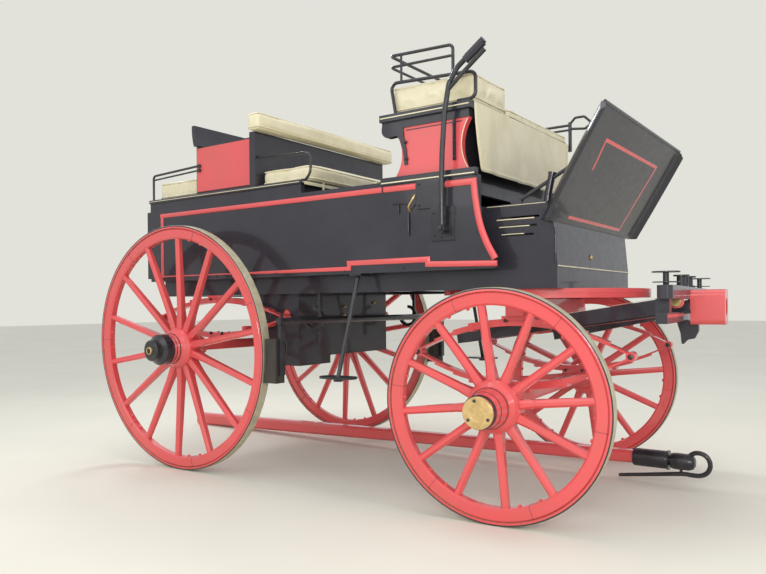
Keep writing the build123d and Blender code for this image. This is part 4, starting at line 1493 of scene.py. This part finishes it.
FITTINGS: tuple[Bolts, ...] = (
    Bolts("lever_plate_bolts", IRON, 0.0050, 0.004, RIGHT, ((1.347, -0.530, 1.139), (1.352, -0.530, 1.050),
          (1.395, -0.530, 1.118), (1.424, -0.530, 1.139), (1.424, -0.530, 1.050), (1.382, -0.530, 1.044),
          (1.282, -0.530, 1.258), (1.384, -0.530, 1.258), (1.282, -0.530, 1.174), (1.384, -0.530, 1.174))),
    Bolts("lever_pivot_nut", IRON, 0.0110, 0.009, RIGHT, ((1.400, -0.565, 1.072),), sides=6),
    Bolts("corbel_bolts", IRON, 0.0070, 0.006, LEFT, ((1.204, 0.506, 1.440), (1.2085, 0.506, 1.372)), both=True),
    Bolts("riser_stay_bolts", IRON, 0.0052, 0.005, LEFT, ((1.4295, 0.506, 1.478), (1.4295, 0.506, 1.415),
          (1.4295, 0.506, 1.352)), both=True),
    Bolts("plate_lug_bolts", BLACK, 0.0105, 0.010, UP,
          tuple((KINGPIN_X + 0.424 * math.cos(a), 0.424 * math.sin(a), 0.838) for a in np.radians([150.0, -150.0]))),
    Bolts("box_knobs", BRASS, 0.0075, 0.012, AHEAD, ((0.4900, -0.008, 0.733), (0.4900, 0.251, 0.721),
          (0.4900, 0.252, 0.795), (0.4900, -0.008, 0.777))),
    Bolts("box_side_knob", RED, 0.0190, 0.014, RIGHT, ((0.432, -0.372, 0.746),)),
    Bolts("middle_back_studs", IRON, 0.0050, 0.004, (-0.1, 0.0, 1.0),
          tuple((0.3540, y, 1.6020) for y in (-0.40, 0.0, 0.40))),
    Bolts("cushion_buttons", CREAM, 0.0100, 0.008, AHEAD, ((0.6830, 0.020, 1.392),)),
    Bolts("side_rivets", IRON, 0.0045, 0.004, LEFT, tuple((x, 0.520, 0.930) for x in (-0.3, 0.1, 0.5, 0.9, 1.2, 1.5)),
          both=True),
    Bolts("toe_board_boss", BRASS, 0.0110, 0.006, AHEAD, ((1.8105, -0.064, 0.966),)),
)

RODS: tuple[Rod, ...] = (
    Rod("side_handle", BRASS, ((1.262, -0.523, 1.222), (1.262, -0.538, 1.208), (1.250, -0.541, 1.188),
                               (1.238, -0.538, 1.172), (1.233, -0.522, 1.156)), 0.0040),
    Rod("side_catch_bar", IRON, ((1.150, -0.5230, 1.1925), (1.190, -0.5250, 1.1915), (1.232, -0.5230, 1.1860)), 0.0036),
    Rod("side_catch_stem", IRON, ((1.1805, -0.5230, 1.1900), (1.1805, -0.5245, 1.168), (1.1805, -0.5230, 1.149)),
        0.0036),
    Rod("side_rod", IRON, ((1.2285, -0.5240, 1.150), (1.2285, -0.5265, 1.105), (1.2285, -0.5240, 1.058)), 0.0038),
    Rod("box_front_rod", BRASS, ((0.5060, -0.233, 0.800), (0.5085, -0.233, 0.735), (0.5060, -0.233, 0.640)), 0.0036),
    Rod("boot_front_bead", BLACK, ((1.8060, -0.4290, 1.0600), (1.8075, -0.4300, 0.990), (1.8060, -0.4290, 0.9300)),
        0.0042),
    Rod("lever_grip_sleeve", BLACK, ((1.508, -0.554, 1.6975), (1.545, -0.554, 1.7240), (1.583, -0.554, 1.7515)),
        0.0165),
    Rod("brake_spring", IRON, ((0.645, -0.640, 0.716), (0.655, -0.652, 0.672), (0.672, -0.646, 0.618),
                               (0.668, -0.648, 0.570), (0.650, -0.668, 0.548)), 0.0045),
    Rod("dash_top_bead", BLACK, ((2.0225, -0.520, 1.4655), (2.0225, 0.0, 1.4655), (2.0225, 0.520, 1.4655)), 0.0065),
    Rod("whip_socket", BLACK, ((1.772, -0.4190, 1.1585), (1.779, -0.4190, 1.200), (1.793, -0.4190, 1.262)), 0.0135),
    Rod("whip_socket_lip", BLACK, ((1.7915, -0.4190, 1.255), (1.7928, -0.4190, 1.260), (1.7940, -0.4190, 1.265)),
        0.0155),
)


@dataclass(frozen=True)
class SideBeads:
    """The round-faced painted beads that frame both side panels, in the place of the frame's square ones.

    Each run is points of x, z and the bead's width there. The front corner is straight and then curved.
    """

    both: tuple[Path, ...] = (
        ((-0.305, 1.2665, 0.020), (-0.305, 0.9340, 0.020)),
        ((-0.305, 0.9405, 0.0065), (0.300, 0.9385, 0.0065), (0.375, 0.9378, 0.012), (0.600, 0.9375, 0.015)),
        ((0.590, 0.9375, 0.015), (0.922, 0.9375, 0.018), (0.922, 0.9600, 0.022), (1.314, 0.9600, 0.023),
         (1.314, 0.9410, 0.023), (1.616, 0.9325, 0.022)),
    )
    right: tuple[Path, ...] = (
        ((-0.315, 1.2560, 0.022), (1.098, 1.2545, 0.023)),
        ((1.107, 1.2545, 0.024), (1.264, 1.2535, 0.025)),
    )
    left: tuple[Path, ...] = (
        ((-0.315, 1.2560, 0.022), (1.098, 1.2545, 0.023), (1.420, 1.2500, 0.025)),
    )
    front: Path = ((1.398, 1.2475, 0.026), (1.520, 1.2475, 0.026))
    curve: Profile = ((1.520, 1.2475), (1.5275, 1.180), (1.5440, 1.091), (1.5720, 1.015), (1.6080, 0.950))
    curve_width: float = 0.026
    out: float = 0.5202
    rise: float = 0.26
    sunk: float = 0.05
    steps: int = 30

    def bead(self, run: Path | Array, side: Side) -> Array:
        """One run: a half-round section along the path, scaled at each point by its width.

        Args:
            run: Points of x, z and width.
            side: The side that it is on.

        Returns:
            The grid of the bead.
        """
        x, z, width = np.array(run).T
        path = np.stack([x, np.full_like(x, side.value * self.out), z], -1)
        bend = np.linspace(0, np.pi, 9)
        over = np.stack([0.5 * np.cos(bend), self.rise * np.sin(bend) ** 0.8], -1)
        section = np.vstack([[(0.5, -self.sunk)], over, [(-0.5, -self.sunk)]])
        grid = swept(path, section, np.array([0.0, side.value, 0.0]))
        return path[:, None] + (grid - path[:, None]) * width[:, None, None]

    def make(self, workshop: Workshop) -> None:
        """Build the beads of both sides as one piece that takes the place of the frame's.

        Args:
            workshop: Where the finish comes from.
        """
        piece = Piece("side_beads", Slot.RED_PAINT, sharp=35.0)
        bend = smooth_line(np.array(self.curve), self.steps)[1:]
        corner = np.vstack([np.array(self.front), np.column_stack([bend, np.full(len(bend), self.curve_width)])])
        for side, runs in ((Side.RIGHT, self.both + self.right), (Side.LEFT, self.both + self.left)):
            for run in (*runs, corner):
                piece.add(self.bead(run, side))
        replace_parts(piece.make(workshop), "body_beads")


@dataclass(frozen=True)
class ArmIrons:
    """The bent arm irons at both ends of the middle seat, in the place of the frame's.

    The path is points of x and z. The foot is a small turned plate on the bench.
    """

    path: Profile = ((0.369, 1.4840), (0.422, 1.4795), (0.500, 1.4745), (0.578, 1.4695), (0.650, 1.4670),
                     (0.684, 1.4600), (0.6995, 1.4400), (0.7000, 1.4100), (0.6970, 1.3800), (0.6830, 1.3580),
                     (0.6620, 1.3420))
    foot: Profile = ((0.0120, -0.0010), (0.0125, 0.0012), (0.0112, 0.0030), (0.0070, 0.0045))
    foot_at: tuple[float, float] = (0.6590, 1.3455)
    out: float = 0.5045
    radius: float = 0.0058
    steps: int = 60

    def make(self, workshop: Workshop) -> None:
        """Sweep each iron along a smooth line, and put its foot under it.

        Args:
            workshop: Where the finish comes from.
        """
        piece = Piece("seat_arm_irons", Slot.BLACK_IRON, sharp=35.0)
        line = smooth_line(np.array(self.path), self.steps)
        for way in (-1.0, 1.0):
            path = np.stack([line[:, 0], np.full(self.steps, way * self.out), line[:, 1]], -1)
            piece.add(swept(path, circle(self.radius, 12), LEFT))
            piece.add(moved(turned(self.foot, 20), shifted(self.foot_at[0], way * self.out, self.foot_at[1])))
        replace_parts(piece.make(workshop), "arm_irons")


@dataclass(frozen=True)
class PoleIron:
    """The iron on the loose pole's end, drawn along +X from the end of the wood: ferrule, swivel and round hook.

    The ferrule and the keeper are turned profiles. The hook is points of x and z, and its radius is given by
    how many of its steps have passed.
    """

    ferrule: Profile = (
        (0.0372, -0.002), (0.0385, 0.002), (0.0385, 0.136), (0.0372, 0.140), (0.0420, 0.1405), (0.0428, 0.143),
        (0.0420, 0.146), (0.0210, 0.1465), (0.0210, 0.1540), (0.0300, 0.1545), (0.0345, 0.162), (0.0352, 0.190),
        (0.0345, 0.228), (0.0290, 0.2440), (0.0180, 0.2515), (0.0040, 0.2530))
    hook: Profile = (
        (0.2200, 0.002), (0.2310, 0.028), (0.2500, 0.0410), (0.2740, 0.0420), (0.2960, 0.0310), (0.3090, 0.008),
        (0.3080, -0.0180), (0.2940, -0.0400), (0.2680, -0.0520), (0.2340, -0.0530), (0.2000, -0.0525),
        (0.1000, -0.0660), (0.0000, -0.0800), (-0.0700, -0.0895))
    thickness: Profile = ((0, 0.0100), (80, 0.0100), (109, 0.0075))
    keeper: Profile = ((0.0060, -0.048), (0.0068, -0.040), (0.0060, -0.030))
    keeper_x: float = 0.194
    length: float = 0.321
    axis_above: float = 0.100
    box_middle: float = 0.13
    steps: int = 110

    def make(self, workshop: Workshop) -> None:
        """Build the iron in the place of the frame's, from the far end of that one's box.

        Args:
            workshop: Where the finish comes from.
        """
        low, high = (np.array(corner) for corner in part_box("pole_hook"))
        axis = unit(np.array(next(j for j in frame["joints"] if j["name"] == "pole_slide")["axis"], float))
        place = shifted(high[0] - self.length, (low[1] + high[1]) / 2 - axis[1] * self.box_middle,
                        low[2] + self.axis_above)
        place = place @ about_z(math.atan2(axis[1], axis[0]))
        piece = Piece("pole_end_iron", Slot.BLACK_IRON, "pole", place, 35.0)
        along_x = facing((0.0, 0.0, 0.0), AHEAD)
        piece.add(moved(turned(self.ferrule, 40), along_x))
        line = smooth_line(np.array(self.hook), self.steps)
        taper = np.interp(np.arange(self.steps), *np.array(self.thickness).T)[:, None, None]
        path = np.stack([line[:, 0], np.zeros(self.steps), line[:, 1]], -1)
        grid = swept(path, circle(1.0, 14), LEFT)
        piece.add(path[:, None] + (grid - path[:, None]) * taper)
        piece.add(moved(turned(self.keeper, 16), shifted(self.keeper_x, 0.0, 0.0)))
        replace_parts(piece.make(workshop), "pole_hook")


@dataclass(frozen=True)
class SpringIrons:
    """The clips, U-bolts and eye pins of one end's pair of elliptic springs, with lengths from the rear axle.

    Low and high are the undersides and tops of the springs, and the half span goes out to their eyes.
    """

    end: End
    body: str
    x: float
    y: float
    low: float
    high: float
    half_span: float
    half_width: float = 0.022
    clip_half: float = 0.040
    clip_height: float = 0.0147
    leaves: float = 0.038
    strap_out: float = 0.013
    strap_at: float = 0.42
    strap_room: float = 0.0025
    strap_half: float = 0.0165
    strap_rows: Profile = ((-0.009, 0.97), (-0.008, 1.0), (0.008, 1.0), (0.009, 0.97))
    leg_out: float = 0.003
    nut: tuple[float, float] = (0.0080, 0.010)
    pin: tuple[float, float] = (0.0105, 0.008)

    def bolts(self) -> Array:
        """The U-bolts' nuts at both ends of each clip plate, above and below.

        Returns:
            A stack of nuts.
        """
        leg = self.half_width + self.leg_out
        spots = [facing((self.x + dx, way * (self.y + dy), z), (0, 0, up)) for way in (1, -1)
                 for dx in (-self.clip_half, self.clip_half) for dy in (-leg, leg)
                 for z, up in ((self.low + self.clip_height, 1.0), (self.high - self.clip_height, -1.0))]
        return moved(bolt_head(*self.nut, sides=6), np.array(spots))

    def bands(self) -> Array:
        """The straps that hold each pack of leaves together, closed bands round the leaves' section.

        A strap leans by a share of the angle that half the spring's arc takes up.

        Returns:
            A stack of straps.
        """
        arch = (self.high - self.low) / 2 - self.leaves
        radius = (self.half_span ** 2 + arch ** 2) / (2 * arch)
        out = radius + self.strap_out
        middle = (self.low + self.high) / 2
        lean = self.strap_at * math.asin(self.half_span / radius)
        drop = radius - arch
        places = [facing((self.x + out * math.sin(a), way * self.y, middle + up * (out * math.cos(a) - drop)),
                         (math.cos(a), 0.0, -up * math.sin(a)))
                  for way in (1, -1) for a in (-lean, lean) for up in (1, -1)]
        w, t = self.half_width + self.strap_room, self.strap_half
        loop = np.array([(-w, -t), (-w, t), (w, t), (w, -t)])
        band = np.stack([np.column_stack([loop * grow, np.full(4, z)]) for z, grow in self.strap_rows])
        return moved(band, np.array(places))

    def pins(self) -> Array:
        """The pin heads at each spring eye, inside and outside.

        Returns:
            A stack of pin heads.
        """
        middle = (self.low + self.high) / 2
        spots = [facing((self.x + dx, way * self.y + side * self.half_width, middle), (0, side, 0))
                 for way in (1, -1) for dx in (-self.half_span, self.half_span) for side in (1, -1)]
        return moved(bolt_head(*self.pin, sides=6), np.array(spots))

    def make(self, workshop: Workshop) -> None:
        """Build the irons of both springs.

        Args:
            workshop: Where the finishes come from.
        """
        for what, slot, grid in (("nuts", IRON, self.bolts()), ("bands", RED, self.bands()),
                                 ("pins", IRON, self.pins())):
            piece = Piece(f"{self.end.value}_spring_{what}", slot, self.body, drawn_on(self.body), 30.0)
            piece.add(grid).make(workshop)


@dataclass(frozen=True)
class BarFerrule:
    """The turned ferrule under the splinter bar, with a ring at each end."""

    place: Point = (2.1500, -0.2230, 0.7830)
    barrel: Profile = ((0.0165, -0.026), (0.0205, -0.022), (0.0195, -0.010), (0.0210, 0.0), (0.0195, 0.010),
                       (0.0205, 0.022), (0.0165, 0.026))
    ring: Profile = ((0.0200, -0.0030), (0.0232, -0.0022), (0.0240, 0.0), (0.0232, 0.0022), (0.0200, 0.0030),
                     (0.0200, -0.0030))
    ring_at: float = 0.0215

    def make(self, workshop: Workshop) -> None:
        """Build the ferrule and its rings.

        Args:
            workshop: Where the finishes come from.
        """
        place = facing(self.place, LEFT)
        barrel = Piece("bar_ferrule", Slot.BRASS, FORE, ON_FORE)
        barrel.add(moved(turned(self.barrel, 48), place)).make(workshop)
        rings = Piece("bar_ferrule_rings", Slot.RED_PAINT, FORE, ON_FORE)
        for along in (-self.ring_at, self.ring_at):
            rings.add(moved(turned(self.ring, 48), place @ shifted(0.0, 0.0, along)), ends=False)
        rings.make(workshop)


@dataclass(frozen=True)
class Trimmings:
    """Everything that is too fine for the frame, in the order in which it is fitted."""

    pads: tuple[Pad, ...] = (
        Pad("driver_seat_cushion", "driver_cushion", crown=0.011, edge=0.013, pull=0.004, swell=0.005,
            low_by=(-0.013, -0.006, 0.0), high_by=(0.002, 0.0, 0.011)),
        Pad("companion_seat_cushion", "companion_cushion", crown=0.010, edge=0.011, pull=0.005, swell=0.005),
        Pad("middle_seat_cushion", "middle_cushion", crown=0.022, edge=0.016, pull=0.007, swell=0.008),
        Pad("rear_seat_cushion", "rear_cushion", crown=0.018, edge=0.016, pull=0.007, swell=0.008),
        Pad("middle_back_roll", "middle_roll", crown=0.014, edge=0.020, pull=0.004, swell=0.006, fill=0.85,
            low_by=(0.010, -0.006, 0.0), high_by=(0.010, 0.006, 0.006)),
    )
    fall: Fall = Fall()
    wheels: tuple[WheelTrim, ...] = (
        WheelTrim(End.REAR, 0.585, 7, 3.4 + 180.0 / 14, ((0.0440, 0.0715, 0.004), (0.0580, 0.0655, 0.003))),
        WheelTrim(End.FRONT, 0.420, 6, 24.0 + 15.0, ((0.0480, 0.0720, 0.004), (0.0900, 0.0640, 0.003),
                                                     (0.1270, 0.0578, 0.018))),
    )
    springs: tuple[SpringIrons, ...] = (
        SpringIrons(End.REAR, "body", 0.0, 0.408, 0.6305, 0.838, 0.450),
        SpringIrons(End.FRONT, FORE, KINGPIN_X, 0.400, 0.4450, 0.735, 0.420),
    )
    irons: tuple[SideBeads, ArmIrons, PoleIron, BarFerrule] = (SideBeads(), ArmIrons(), PoleIron(), BarFerrule())

    def make(self, workshop: Workshop) -> None:
        """Build every trimming.

        Args:
            workshop: Where the finishes come from.
        """
        for item in (*self.pads, self.fall, *self.wheels, *self.springs, *self.irons, *LINES, *FITTINGS, *RODS):
            item.make(workshop)
        log.info("%d pieces made", Piece.made)


def main() -> None:
    """Build the scene in order."""
    logging.basicConfig(level=logging.INFO, format="%(name)s: %(message)s")
    bpy.context.scene.view_settings.view_transform = "Standard"
    Studio().build()
    workshop = Workshop()
    workshop.dress_frame()
    Trimmings().make(workshop)


if __name__ == "__main__":
    main()
